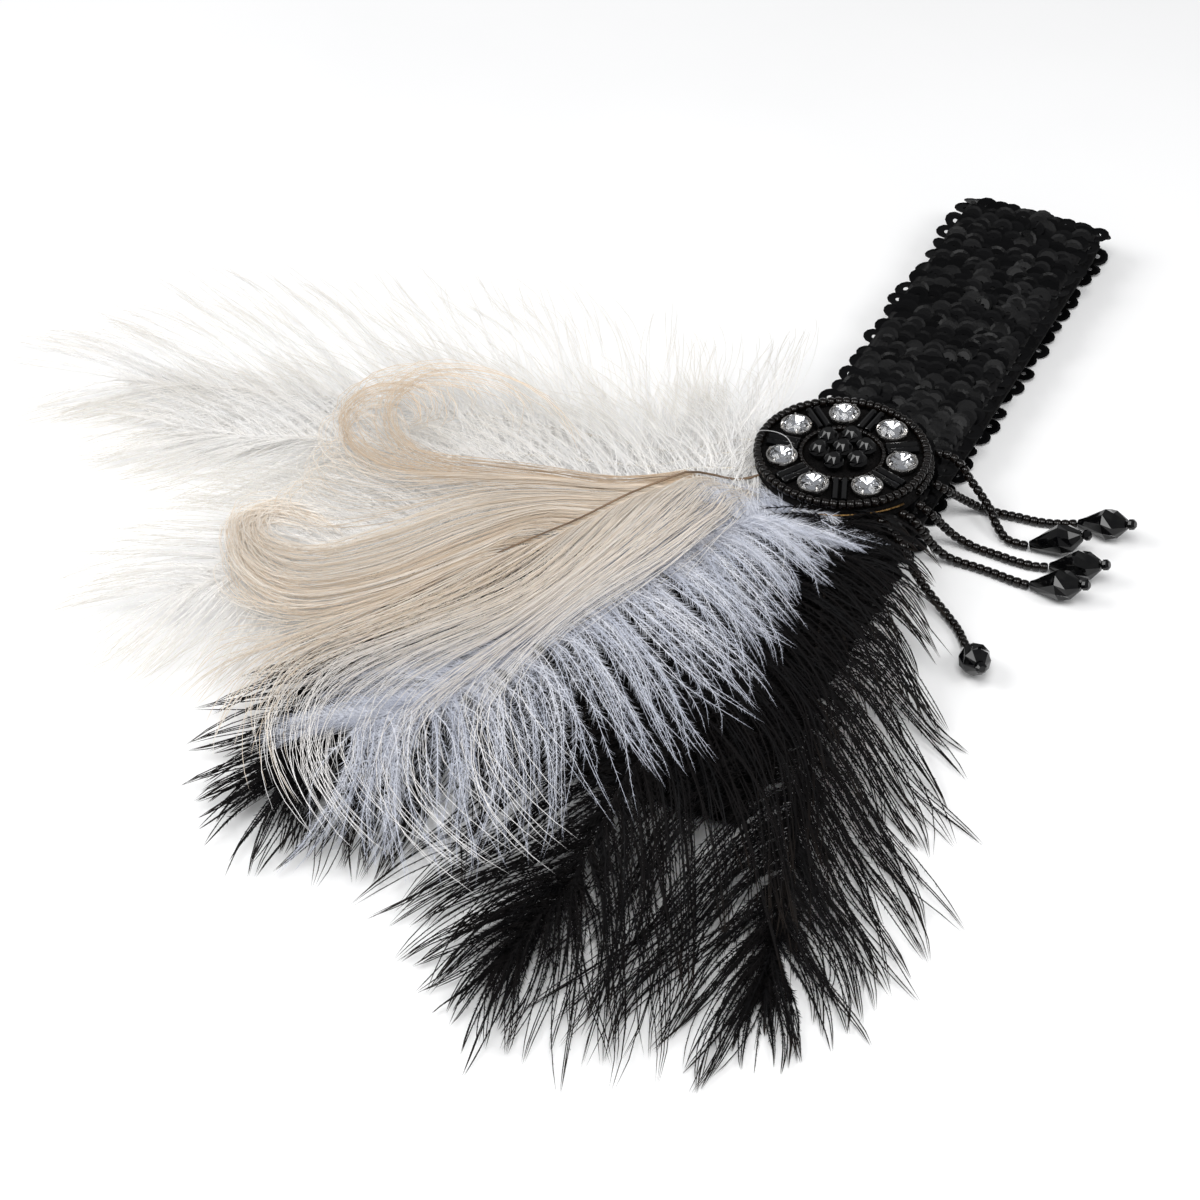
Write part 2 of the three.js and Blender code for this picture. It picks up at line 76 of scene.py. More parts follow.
def makeUnevenGroup():
    # noise in object space between two colours, and the same noise as a mask
    group = bpy.data.node_groups.new("unevenColour", "ShaderNodeTree")
    face = group.interface
    for name, kind, value in (
        ("Dark", "NodeSocketColor", (0.01, 0.01, 0.01, 1)),
        ("Light", "NodeSocketColor", (0.03, 0.03, 0.03, 1)),
        ("Size", "NodeSocketFloat", 400.0),
        ("Contrast", "NodeSocketFloat", 1.0),
    ):
        socket = face.new_socket(name, in_out="INPUT", socket_type=kind)
        socket.default_value = value
    face.new_socket("Color", in_out="OUTPUT", socket_type="NodeSocketColor")
    face.new_socket("Mask", in_out="OUTPUT", socket_type="NodeSocketFloat")
    nodes, links = group.nodes, group.links
    given = nodes.new("NodeGroupInput")
    result = nodes.new("NodeGroupOutput")
    where = nodes.new("ShaderNodeTexCoord")
    noise = nodes.new("ShaderNodeTexNoise")
    noise.inputs["Detail"].default_value = 4
    spread = nodes.new("ShaderNodeMapRange")
    spread.inputs["From Min"].default_value = 0.35
    spread.inputs["From Max"].default_value = 0.65
    scale = nodes.new("ShaderNodeMath")
    scale.operation = "MULTIPLY"
    scale.use_clamp = True
    mix = nodes.new("ShaderNodeMix")
    mix.data_type = "RGBA"
    links.new(where.outputs["Object"], noise.inputs["Vector"])
    links.new(given.outputs["Size"], noise.inputs["Scale"])
    links.new(noise.outputs["Fac"], spread.inputs["Value"])
    links.new(spread.outputs["Result"], scale.inputs[0])
    links.new(given.outputs["Contrast"], scale.inputs[1])
    links.new(scale.outputs["Value"], mix.inputs["Factor"])
    links.new(given.outputs["Dark"], mix.inputs["A"])
    links.new(given.outputs["Light"], mix.inputs["B"])
    links.new(mix.outputs["Result"], result.inputs["Color"])
    links.new(scale.outputs["Value"], result.inputs["Mask"])
    return group


unevenGroup = makeUnevenGroup()


def addUneven(nodes, dark, light, size, contrast=1.0):
    node = nodes.new("ShaderNodeGroup")
    node.node_tree = unevenGroup
    node.inputs["Dark"].default_value = (*dark, 1)
    node.inputs["Light"].default_value = (*light, 1)
    node.inputs["Size"].default_value = size
    node.inputs["Contrast"].default_value = contrast
    return node


def addRange(nodes, links, source, low, high):
    node = nodes.new("ShaderNodeMapRange")
    node.inputs["To Min"].default_value = low
    node.inputs["To Max"].default_value = high
    links.new(source, node.inputs["Value"])
    return node.outputs["Result"]


def addBump(nodes, links, height, shader, strength, distance):
    node = nodes.new("ShaderNodeBump")
    node.inputs["Strength"].default_value = strength
    node.inputs["Distance"].default_value = distance
    links.new(height, node.inputs["Height"])
    links.new(node.outputs["Normal"], shader.inputs["Normal"])


def makeUnevenMaterial(name, dark, light, size, **values):
    # a material whose colour is uneven, and its noise for more
    material, nodes, links, shader = newMaterial(name)
    uneven = addUneven(nodes, dark, light, size)
    links.new(uneven.outputs["Color"], shader.inputs["Base Color"])
    setSockets(shader, **values)
    return material, nodes, links, shader, uneven.outputs["Mask"]


def makeGlossyMaterial(name, dark, light, size, roughness, **values):
    # jet glass, crystal, foil, quills and metal share this build
    material, nodes, links, shader, mask = makeUnevenMaterial(name, dark, light, size, **values)
    links.new(addRange(nodes, links, mask, *roughness), shader.inputs["Roughness"])
    return material


def addAttribute(nodes, name):
    node = nodes.new("ShaderNodeAttribute")
    node.attribute_name = name
    return node.outputs["Fac"]


def addRamp(nodes, links, source, low, high, start=0.0):
    # from low to high while the source goes from start to 1
    node = nodes.new("ShaderNodeValToRGB")
    first, last = node.color_ramp.elements
    first.position = start
    first.color = (*low, 1)
    last.color = (*high, 1)
    links.new(source, node.inputs["Fac"])
    return node.outputs["Color"]


def makeStrandMaterial(name, look):
    # strands carry two attributes: along, 0 at the quill and 1 at the tip, and tone, one value a barb
    material, nodes, links, shader = newMaterial(name)
    along = addAttribute(nodes, "along")
    tone = addAttribute(nodes, "tone")
    mix = nodes.new("ShaderNodeMix")
    mix.data_type = "RGBA"
    mix.inputs["B"].default_value = (*look["tip"], 1)
    links.new(addRamp(nodes, links, tone, look["cool"], look["warm"]), mix.inputs["A"])
    links.new(addRamp(nodes, links, along, (0, 0, 0), (1, 1, 1), look["tipFrom"]), mix.inputs["Factor"])
    links.new(mix.outputs["Result"], shader.inputs["Base Color"])
    links.new(addRange(nodes, links, tone, *look["roughness"]), shader.inputs["Roughness"])
    setSockets(shader, Sheen_Weight=look["sheen"], Sheen_Roughness=0.4, Specular_IOR_Level=look["specular"])
    return material


# small helpers for meshes

def addObject(name, mesh, *materials):
    for material in materials:
        mesh.materials.append(material)
    return linkObject(name, mesh)


def meshFromBmesh(name, bm, smooth=False):
    bmesh.ops.recalc_face_normals(bm, faces=bm.faces)
    mesh = bpy.data.meshes.new(name)
    bm.to_mesh(mesh)
    bm.free()
    mesh.shade_smooth() if smooth else mesh.shade_flat()
    return mesh


def meshFromArrays(name, points, triangles, marks=None, smooth=False):
    mesh = bpy.data.meshes.new(name)
    mesh.vertices.add(len(points))
    mesh.vertices.foreach_set("co", np.asarray(points, np.float32).ravel())
    mesh.loops.add(3 * len(triangles))
    mesh.loops.foreach_set("vertex_index", np.asarray(triangles, np.int32).ravel())
    mesh.polygons.add(len(triangles))
    mesh.polygons.foreach_set("loop_start", np.arange(0, 3 * len(triangles), 3, dtype=np.int32))
    mesh.update(calc_edges=True)
    for mark, values in (marks or {}).items():
        layer = mesh.attributes.new(mark, "FLOAT", "POINT")
        layer.data.foreach_set("value", np.asarray(values, np.float32))
    mesh.shade_smooth() if smooth else mesh.shade_flat()
    return mesh


def shapeArrays(bm):
    # one small shape as arrays, ready to be repeated
    bmesh.ops.recalc_face_normals(bm, faces=bm.faces)
    bmesh.ops.triangulate(bm, faces=bm.faces)
    bm.verts.ensure_lookup_table()
    points = np.array([vert.co[:] for vert in bm.verts])
    triangles = np.array([[vert.index for vert in face.verts] for face in bm.faces])
    bm.free()
    return points, triangles


def repeatShape(shape, places, turns):
    # places: n x 3, turns: n x 3 x 3 whose columns are the shape's own axes
    points, triangles = shape
    moved = np.einsum("nij,pj->npi", turns, points) + places[:, None, :]
    count = len(places)
    shifted = triangles[None] + (np.arange(count) * len(points))[:, None, None]
    return moved.reshape(-1, 3), shifted.reshape(-1, 3)


def rotate(bm, verts, degrees, axis):
    bmesh.ops.rotate(bm, verts=verts, cent=(0, 0, 0), matrix=Matrix.Rotation(math.radians(degrees), 3, axis))


def growEdges(bm, edges):
    # the open edges extruded once: the new verts and the new open edges
    grown = bmesh.ops.extrude_edge_only(bm, edges=edges)["geom"]
    verts = [item for item in grown if isinstance(item, bmesh.types.BMVert)]
    fresh = set(verts)
    edges = [item for item in grown if isinstance(item, bmesh.types.BMEdge) and fresh.issuperset(item.verts)]
    return verts, edges


def growRing(bm, edges, radius, level):
    # the next ring round Z, at its own radius and height
    verts, edges = growEdges(bm, edges)
    share = radius / math.hypot(*verts[0].co[:2])
    bmesh.ops.scale(bm, verts=verts, vec=(share, share, 1))
    bmesh.ops.translate(bm, verts=verts, vec=(0, 0, level - verts[0].co.z))
    return edges


def normalised(vectors):
    return vectors / np.maximum(np.linalg.norm(vectors, axis=-1, keepdims=True), 1e-12)


def wayAlong(line):
    return np.concatenate([[0], np.cumsum(np.linalg.norm(np.diff(line, axis=0), axis=1))])


def pointsAt(line, way, wanted):
    return np.stack([np.interp(wanted, way, line[:, k]) for k in range(line.shape[1])], -1)


def smoothShare(low, high, values):
    share = np.clip((values - low) / (high - low), 0, 1)
    return share * share * (3 - 2 * share)


def smoothRoute(points, steps=24):
    # centripetal Catmull-Rom through the points, the ends mirrored
    points = [Vector(point) for point in points]
    points = [2 * points[0] - points[1], *points, 2 * points[-1] - points[-2]]
    route = []
    for a, b, c, d in zip(points, points[1:], points[2:], points[3:]):
        ta, tb = 0.0, max((b - a).length, 1e-9) ** 0.5
        tc = tb + max((c - b).length, 1e-9) ** 0.5
        td = tc + max((d - c).length, 1e-9) ** 0.5
        for step in range(steps):
            t = tb + (tc - tb) * step / steps
            ab = a * (tb - t) / (tb - ta) + b * (t - ta) / (tb - ta)
            bc = b * (tc - t) / (tc - tb) + c * (t - tb) / (tc - tb)
            cd = c * (td - t) / (td - tc) + d * (t - tc) / (td - tc)
            abc = ab * (tc - t) / (tc - ta) + bc * (t - ta) / (tc - ta)
            bcd = bc * (td - t) / (td - tb) + cd * (t - tb) / (td - tb)
            route.append(abc * (tc - t) / (tc - tb) + bcd * (t - tb) / (tc - tb))
    route.append(points[-2])
    return np.array([point[:] for point in route])


def finishPiece(piece, slot, *nodes):
    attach(piece, "root")
    if nodes:
        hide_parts(*nodes)
    return piece


# sizes that the pieces share, in metres
seatGap = 0.3 * mm
medallionY = 4 * mm
padBottom = 11.5 * mm
padTop = 15.4 * mm
seatHeight = padTop + seatGap

band = {
    "fold": 135 * mm, "far": -122 * mm, "halfWidth": 20.5 * mm, "height": 11.2 * mm, "inset": 0.9 * mm,
    "elasticHalf": 18.6 * mm, "elasticWall": 1.3 * mm, "elasticSink": 0.2 * mm, "loopSteps": 160, "acrossSteps": 12,
    "sequinRadius": 3.0 * mm, "sequinHole": 0.7 * mm, "sequinDish": 0.14 * mm, "flatShare": 0.74, "sequinSides": 12,
    "rows": 8, "rowPitch": 4.3 * mm, "edgeY": 18.5 * mm, "acrossNoise": 0.55 * mm, "underTilt": 6, "seed": 3,
    "inner": {"pitch": 2.9 * mm, "wayNoise": 0.3 * mm, "tilt": (25, 10), "sink": (0.05 * mm, 0.15 * mm)},
    "edge": {"pitch": 6.1 * mm, "wayNoise": 0.6 * mm, "tilt": (4, 7), "sink": (0.35 * mm, 0.1 * mm)},
}


def loopLength(inset):
    radius = band["height"] / 2 - inset
    return 2 * (band["fold"] - band["far"] - band["height"]) + 2 * math.pi * radius


def onLoop(way, inset):
    # place and outward direction on the flat loop seen from the side, way counted from the far end's top
    radius = band["height"] / 2 - inset
    straight = band["fold"] - band["far"] - band["height"]
    bend = math.pi * radius
    middle = band["height"] / 2
    left = band["far"] + middle
    right = band["fold"] - middle
    way = np.asarray(way) % loopLength(inset)
    parts = [way < straight, way < straight + bend, way < 2 * straight + bend]
    turn = np.select(
        parts, [0, (way - straight) / radius, math.pi],
        math.pi + (way - 2 * straight - bend) / radius,
    )
    x = np.select(
        parts, [left + way, right + radius * np.sin(turn), right - (way - straight - bend)],
        left + radius * np.sin(turn),
    )
    z = middle + radius * np.cos(turn)
    return np.stack([x, z], -1), np.stack([np.sin(turn), np.cos(turn)], -1)


def makeElastic():
    steps, across = band["loopSteps"], band["acrossSteps"]
    ways = np.linspace(0, loopLength(band["inset"]), steps, endpoint=False)
    places, _ = onLoop(ways, band["inset"] + band["elasticSink"])
    bm = bmesh.new()
    verts = [bm.verts.new((x, -band["elasticHalf"], z)) for x, z in places]
    edges = [bm.edges.new((verts[k], verts[(k + 1) % steps])) for k in range(steps)]
    for _ in range(across):
        verts, edges = growEdges(bm, edges)
        bmesh.ops.translate(bm, verts=verts, vec=(0, 2 * band["elasticHalf"] / across, 0))
    material, nodes, links, shader, _ = makeUnevenMaterial(
        "wovenElastic", (0.003, 0.003, 0.0035), (0.010, 0.0095, 0.0095), 900,
        Roughness=0.85, Sheen_Weight=0.03, Specular_IOR_Level=0.15)
    where = nodes.new("ShaderNodeTexCoord")
    ribs = nodes.new("ShaderNodeTexWave")
    ribs.bands_direction = "Y"
    ribs.inputs["Scale"].default_value = 260
    ribs.inputs["Distortion"].default_value = 0.6
    links.new(where.outputs["Object"], ribs.inputs["Vector"])
    addBump(nodes, links, ribs.outputs["Fac"], shader, 0.5, 0.0003)
    piece = addObject("elastic_loop", meshFromBmesh("elastic_loop", bm, smooth=True), material)
    wall = piece.modifiers.new("wall", "SOLIDIFY")
    wall.thickness = band["elasticWall"]
    wall.offset = -1
    return piece


def makeSequin():
    # a ring with a flat middle and a slightly raised edge
    bm = bmesh.new()
    ring = bmesh.ops.create_circle(bm, segments=band["sequinSides"], radius=band["sequinHole"])["verts"]
    edges = list({edge for vert in ring for edge in vert.link_edges})
    for share, level in ((band["flatShare"], 0.0), (1.0, band["sequinDish"])):
        edges = growRing(bm, edges, share * band["sequinRadius"], level)
    return shapeArrays(bm)


def makeSequins():
    rng = np.random.default_rng(band["seed"])
    length = loopLength(band["inset"])
    ways, across, tilts, sinks = [], [], [], []
    middle = (band["rows"] - 1) / 2
    rows = [((row - middle) * band["rowPitch"], 0.5 * (row % 2), band["inner"]) for row in range(band["rows"])]
    rows += [(side * band["edgeY"], 0.25 * (side + 1), band["edge"]) for side in (-1, 1)]
    for y, shift, kind in rows:
        count = int(length / kind["pitch"])
        way = (np.arange(count) + shift) * length / count
        ways.append(way + rng.normal(0, kind["wayNoise"], count))
        across.append(y + rng.normal(0, band["acrossNoise"], count))
        tilts.append(rng.normal(*kind["tilt"], count))
        sinks.append(rng.normal(*kind["sink"], count))
    way, y, tilt, sink = (np.concatenate(item) for item in (ways, across, tilts, sinks))
    places, outward = onLoop(way, band["inset"])
    count = len(way)
    # those underneath lie flatter
    under = outward[:, 1] < -0.5
    tilt = np.radians(np.where(under, np.clip(tilt, -band["underTilt"], band["underTilt"]), tilt))[:, None]
    roll = np.radians(np.where(under, rng.normal(0, 2, count), rng.normal(0, 8, count)))[:, None]
    normal = np.stack([outward[:, 0], np.zeros(count), outward[:, 1]], -1)
    ahead = np.stack([outward[:, 1], np.zeros(count), -outward[:, 0]], -1)
    side = np.tile([0.0, 1.0, 0.0], (count, 1))
    lean = ahead * np.cos(tilt) + normal * np.sin(tilt)
    up = normal * np.cos(tilt) - ahead * np.sin(tilt)
    cross = side * np.cos(roll) + up * np.sin(roll)
    up = np.cross(lean, cross)
    spin = rng.uniform(0, 2 * math.pi, count)[:, None]
    first = lean * np.cos(spin) + cross * np.sin(spin)
    turns = np.stack([first, np.cross(up, first), up], -1)
    centre = np.stack([places[:, 0], y, places[:, 1]], -1) - normal * sink[:, None]
    shape = makeSequin()
    points, triangles = repeatShape(shape, centre, turns)
    points[:, 2] = np.maximum(points[:, 2], 0.05 * mm)
    tones = np.repeat(rng.uniform(0, 1, count), len(shape[0]))
    material, nodes, links, shader = newMaterial("blackSequin")
    tone = addAttribute(nodes, "tone")
    colours = addRamp(nodes, links, tone, (0.001, 0.001, 0.0012), (0.002, 0.002, 0.0024))
    links.new(colours, shader.inputs["Base Color"])
    links.new(addRange(nodes, links, tone, 0.24, 0.5), shader.inputs["Roughness"])
    scratches = addUneven(nodes, (0, 0, 0), (1, 1, 1), 1800)
    addBump(nodes, links, scratches.outputs["Mask"], shader, 0.15, 0.00005)
    setSockets(shader, Specular_IOR_Level=0.11)
    return addObject("band_sequins", meshFromArrays("band_sequins", points, triangles, {"tone": tones}), material)


finishPiece(makeElastic(), "sequins", "sequin_band")
finishPiece(makeSequins(), "sequins", "sequin_band")
print("band made")

# the medallion
medallion = {
    "padRadius": 21.8 * mm, "padBevel": 0.45 * mm, "rimInset": 0.6 * mm,
    "beadRadius": 1.2 * mm, "beadHole": 0.38 * mm, "beadLength": 2.0 * mm, "beadSwell": 0.03 * mm,
    "beadPitch": 2.04 * mm, "bronzeRadius": 0.28 * mm, "threadRadius": 0.11 * mm,
    "stoneCount": 7, "stoneFirst": 20, "stoneClearance": 0.56 * mm, "cupWall": 0.45 * mm, "cupTaper": 0.75 * mm,
    "cupHeight": 2.1 * mm, "crownHeight": 1.5 * mm, "clawRadius": 0.42 * mm,
    "bugleRadius": 0.95 * mm, "bugleHole": 0.3 * mm, "bugleChamfer": 0.12 * mm,
    "seedRingHalf": 0.6 * mm, "smallRadius": 0.8 * mm, "smallHole": 0.25 * mm, "smallLength": 1.3 * mm,
    "smallPitch": 1.36 * mm,
    "thread": ((-1.6, 26.6, 1.6), (-2.6, 23.6, 3.4), (-3.4, 20.4, 4.4), (-4.6, 17.2, 4.6), (-7.4, 14.4, 3.8),
               (-9.8, 13.8, 2.2)),
}
rimRadius = medallion["padRadius"] - medallion["rimInset"]
fieldRadius = rimRadius - medallion["beadRadius"] - medallion["stoneClearance"]
bugleHalf = 2 * medallion["bugleRadius"] + seatGap / 2
stoneSine = math.sin(math.pi / medallion["stoneCount"])
cupRadius = (fieldRadius * stoneSine - bugleHalf - medallion["stoneClearance"]) / (1 + stoneSine)
stoneRing = fieldRadius - cupRadius
stoneRadius = cupRadius - medallion["cupWall"]
bugleInner = stoneRing - cupRadius - seatGap - medallion["seedRingHalf"]

jetMaterial = makeGlossyMaterial(
    "jetGlass", (0.001, 0.001, 0.0015), (0.004, 0.004, 0.004), 500, (0.01, 0.05), Specular_IOR_Level=0.38)
seedMaterial = makeGlossyMaterial(
    "seedBeadGlass", (0.0015, 0.001, 0.001), (0.006, 0.004, 0.003), 700, (0.03, 0.09), Specular_IOR_Level=0.34)
bronzeMaterial = makeGlossyMaterial(
    "bronzeEdge", (0.10, 0.055, 0.02), (0.34, 0.20, 0.07), 900, (0.25, 0.45), Metallic=0.9)
silverMaterial = makeGlossyMaterial(
    "silverSetting", (0.42, 0.40, 0.38), (0.80, 0.79, 0.77), 600, (0.12, 0.32), Metallic=1.0)
crystalMaterial = makeGlossyMaterial(
    "cutCrystal", (0.96, 0.97, 0.99), (1.0, 1.0, 1.0), 800, (0.0, 0.012), Transmission_Weight=1.0, IOR=1.58)
foilMaterial = makeGlossyMaterial(
    "mirrorFoil", (0.80, 0.82, 0.86), (0.96, 0.96, 0.97), 900, (0.02, 0.06), Metallic=1.0)


def makeFelt():
    material, nodes, links, shader, mask = makeUnevenMaterial(
        "blackFelt", (0.0015, 0.0015, 0.0015), (0.007, 0.006, 0.006), 1500,
        Roughness=0.95, Sheen_Weight=0.02, Sheen_Roughness=0.5, Specular_IOR_Level=0.08)
    addBump(nodes, links, mask, shader, 0.6, 0.0002)
    return material


def makePad():
    # the felt backing keeps the slot under it where the quills are sewn in
    bm = bmesh.new()
    bm.from_mesh(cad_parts["medallion_pad"].data)
    bmesh.ops.remove_doubles(bm, verts=bm.verts, dist=0.01 * mm)
    bmesh.ops.dissolve_limit(bm, angle_limit=math.radians(2), verts=bm.verts, edges=bm.edges)
    sharp = [edge for edge in bm.edges if len(edge.link_faces) == 2 and edge.calc_face_angle(0) > math.radians(50)]
    bmesh.ops.bevel(bm, geom=sharp, offset=medallion["padBevel"], offset_type="OFFSET", segments=2, profile=0.5,
                    affect="EDGES", clamp_overlap=True, material=-1)
    return addObject("felt_pad", meshFromBmesh("felt_pad", bm), makeFelt())


def makeSeedBead(radius, length, hole, sides=9):
    # a donut bead round Z
    bm = bmesh.new()
    middle = (radius + hole) / 2
    half = (radius - hole) / 2
    profile = bmesh.ops.create_circle(bm, segments=8, radius=1)["verts"]
    bmesh.ops.scale(bm, verts=profile, vec=(half, length / 2, 1))
    rotate(bm, profile, 90, "X")
    bmesh.ops.translate(bm, verts=profile, vec=(middle, 0, 0))
    bmesh.ops.spin(bm, geom=bm.verts[:] + bm.edges[:], cent=(0, 0, 0), axis=(0, 0, 1), angle=2 * math.pi,
                   steps=sides, use_merge=True)
    bmesh.ops.remove_doubles(bm, verts=bm.verts, dist=0.01 * mm)
    return shapeArrays(bm)


seedRadius = medallion["beadRadius"] + medallion["beadSwell"]
seedBead = makeSeedBead(seedRadius, medallion["beadLength"], medallion["beadHole"])
smallBead = makeSeedBead(medallion["smallRadius"], medallion["smallLength"], medallion["smallHole"], sides=8)


def turnsAlong(directions, rng, wobble=0.0):
    # frames whose Z lies along the directions
    z = normalised(directions + rng.normal(0, wobble, directions.shape) if wobble else directions)
    across = np.where(np.abs(z[:, 2:3]) > 0.9, [[1.0, 0, 0]], [[0, 0, 1.0]])
    x = normalised(np.cross(across, z))
    return np.stack([x, np.cross(z, x), z], -1)


def makeBeadRow(name, shape, places, directions, seed, wobble=0.06, sizes=0.04):
    rng = np.random.default_rng(seed)
    turns = turnsAlong(directions, rng, wobble) * rng.normal(1 - sizes / 2, sizes / 2, len(places))[:, None, None]
    points, triangles = repeatShape(shape, places, turns)
    return addObject(name, meshFromArrays(name, points, triangles, smooth=True), seedMaterial)


def roundPlaces(radius, angles, levels):
    # places round the medallion's axis
    levels = np.broadcast_to(levels, angles.shape)
    return np.stack([radius * np.cos(angles), medallionY + radius * np.sin(angles), levels], -1)


def ringPlaces(radius, height, pitch, start=0.0, end=360.0):
    # evenly spaced places of beads and the way that the string runs there
    span = math.radians(end - start)
    count = int(round(span * radius / pitch))
    if end - start == 360:
        angles = math.radians(start) + span * (np.arange(count) + 0.5) / count
    else:
        angles = np.linspace(math.radians(start), math.radians(end), count)
    directions = np.stack([-np.sin(angles), np.cos(angles), np.zeros(count)], -1)
    return roundPlaces(radius, angles, height), directions


def sweepTube(name, route, radius, material, sides=6):
    # a thin round wire along a row of points
    turns = turnsAlong(np.gradient(route, axis=0), None)
    bm = bmesh.new()
    verts = bmesh.ops.create_circle(bm, segments=sides, radius=radius, cap_ends=True)["verts"]
    edges = bm.edges[:]
    before = Matrix.Identity(4)
    for step, (place, turn) in enumerate(zip(route, turns)):
        if step:
            verts, edges = growEdges(bm, edges)
        after = Matrix.Translation(place) @ Matrix(turn.tolist()).to_4x4()
        bmesh.ops.transform(bm, matrix=after @ before.inverted(), verts=verts)
        before = after
    bmesh.ops.contextual_create(bm, geom=edges)
    return addObject(name, meshFromBmesh(name, bm, smooth=True), material)


def makeBronzeEdge():
    # it shows at the bottom only, rising a little in its middle
    steps = 40
    angles = np.radians(np.linspace(186, 246, steps))
    levels = padTop - 1.6 * mm + 0.7 * mm * np.sin(np.linspace(0, math.pi, steps))
    route = roundPlaces(medallion["padRadius"] + 0.35 * mm, angles, levels)
    return sweepTube("bronze_edge", route, medallion["bronzeRadius"], bronzeMaterial)


finishPiece(makePad(), "pad_cloth", "medallion_pad")
rimRow = ringPlaces(rimRadius, seatHeight + medallion["beadRadius"], medallion["beadPitch"])
finishPiece(makeBeadRow("rim_bead_ring", seedBead, *rimRow, 21), "jet", "rim_beads")
finishPiece(makeBronzeEdge(), "jet")
sideRow = ringPlaces(medallion["padRadius"] + 0.3 * mm, padTop - 1.0 * mm, 1.9 * mm, 262, 400)
finishPiece(makeBeadRow("side_bead_row", seedBead, *sideRow, 23), "jet")


def makeThread():
    material = makeUnevenMaterial(
        "clearThread", (0.80, 0.80, 0.80), (0.95, 0.95, 0.95), 700, Roughness=0.12, Transmission_Weight=0.6, IOR=1.5)[0]
    route = smoothRoute([(x * mm, y * mm, seatHeight + lift * mm) for x, y, lift in medallion["thread"]], 8)
    return sweepTube("clear_thread", route, medallion["threadRadius"], material, sides=5)


finishPiece(makeThread(), "jet")


def makeCup():
    # a cup with a rolled edge and four claws
    bm = bmesh.new()
    height = medallion["cupHeight"]
    bmesh.ops.create_circle(bm, segments=20, radius=cupRadius - medallion["cupTaper"], cap_ends=True)
    edges = bm.edges[:]
    for radius, level in (
        (cupRadius, height * 0.8), (cupRadius - 0.1 * mm, height),
        (stoneRadius - 0.15 * mm, height), (0.6 * mm, 0.5 * mm),
    ):
        edges = growRing(bm, edges, radius, level)
    bmesh.ops.contextual_create(bm, geom=edges)
    claw = bmesh.ops.create_icosphere(bm, subdivisions=1, radius=medallion["clawRadius"])["verts"]
    bmesh.ops.scale(bm, verts=claw, vec=(1.9, 1, 0.8))
    rotate(bm, claw, 38, "Y")
    seat = (stoneRadius - 0.12 * mm, 0, height + medallion["crownHeight"] * 0.3)
    bmesh.ops.translate(bm, verts=claw, vec=seat)
    faces = list({face for vert in claw for face in vert.link_faces})
    rotate(bm, claw, 45, "Z")
    for _ in range(3):
        copied = bmesh.ops.duplicate(bm, geom=faces + claw)["geom"]
        claw = [item for item in copied if isinstance(item, bmesh.types.BMVert)]
        faces = [item for item in copied if isinstance(item, bmesh.types.BMFace)]
        rotate(bm, claw, 90, "Z")
    return bm


def makeCutStone():
    # round brilliant: table, star and kite facets, girdle, pavilion
    bm = bmesh.new()
    height = medallion["cupHeight"]
    crown = medallion["crownHeight"]
    levels = (
        (16, stoneRadius * 0.97, height - 0.15 * mm, 0.0),
        (16, stoneRadius, height + 0.05 * mm, 0.0),
        (8, stoneRadius * 0.80, height + crown * 0.62, 0.5),
        (8, stoneRadius * 0.56, height + crown, 0.0),
    )
    for sides, radius, level, turn in levels:
        for k in range(sides):
            angle = 2 * math.pi * (k + turn) / sides
            bm.verts.new((radius * math.cos(angle), radius * math.sin(angle), level))
    bm.verts.new((0, 0, 0.55 * mm))
    bmesh.ops.convex_hull(bm, input=bm.verts)
    bmesh.ops.dissolve_limit(bm, angle_limit=math.radians(0.5), verts=bm.verts, edges=bm.edges)
    bmesh.ops.recalc_face_normals(bm, faces=bm.faces)
    # the lower facets carry the mirror foil
    for face in bm.faces:
        face.material_index = 1 if face.normal.z < -0.1 else 0
    return bm


def stoneAngle(index):
    return math.radians(medallion["stoneFirst"] + 360 * index / medallion["stoneCount"])


for number in range(1, medallion["stoneCount"] + 1):
    angle = stoneAngle(number - 1)
    centre = Vector((stoneRing * math.cos(angle), medallionY + stoneRing * math.sin(angle), seatHeight))
    lean = Matrix.Rotation(math.radians((number * 37) % 9 - 4), 4, "X")
    place = Matrix.Translation(centre) @ Matrix.Rotation(angle, 4, "Z") @ lean
    for kind, bm, finishes in (
        ("cup", makeCup(), [silverMaterial]), ("cut", makeCutStone(), [crystalMaterial, foilMaterial])
    ):
        bmesh.ops.transform(bm, matrix=place, verts=bm.verts)
        name = f"stone_{kind}_{number}"
        finishPiece(addObject(name, meshFromBmesh(name, bm), *finishes), "crystal", f"rhinestone_{number}")
print("stones set")


def makeBugle(length):
    radius, hole, chamfer = medallion["bugleRadius"], medallion["bugleHole"], medallion["bugleChamfer"]
    bm = bmesh.new()
    bmesh.ops.create_circle(bm, segments=10, radius=hole)
    edges = bm.edges[:]
    for wanted, level in (
        (radius * 0.86, 0.0), (radius, chamfer), (radius, length - chamfer),
        (radius * 0.86, length), (hole, length), (hole, 0.0),
    ):
        edges = growRing(bm, edges, wanted, level)
    bmesh.ops.remove_doubles(bm, verts=bm.verts, dist=0.005 * mm)
    return shapeArrays(bm)


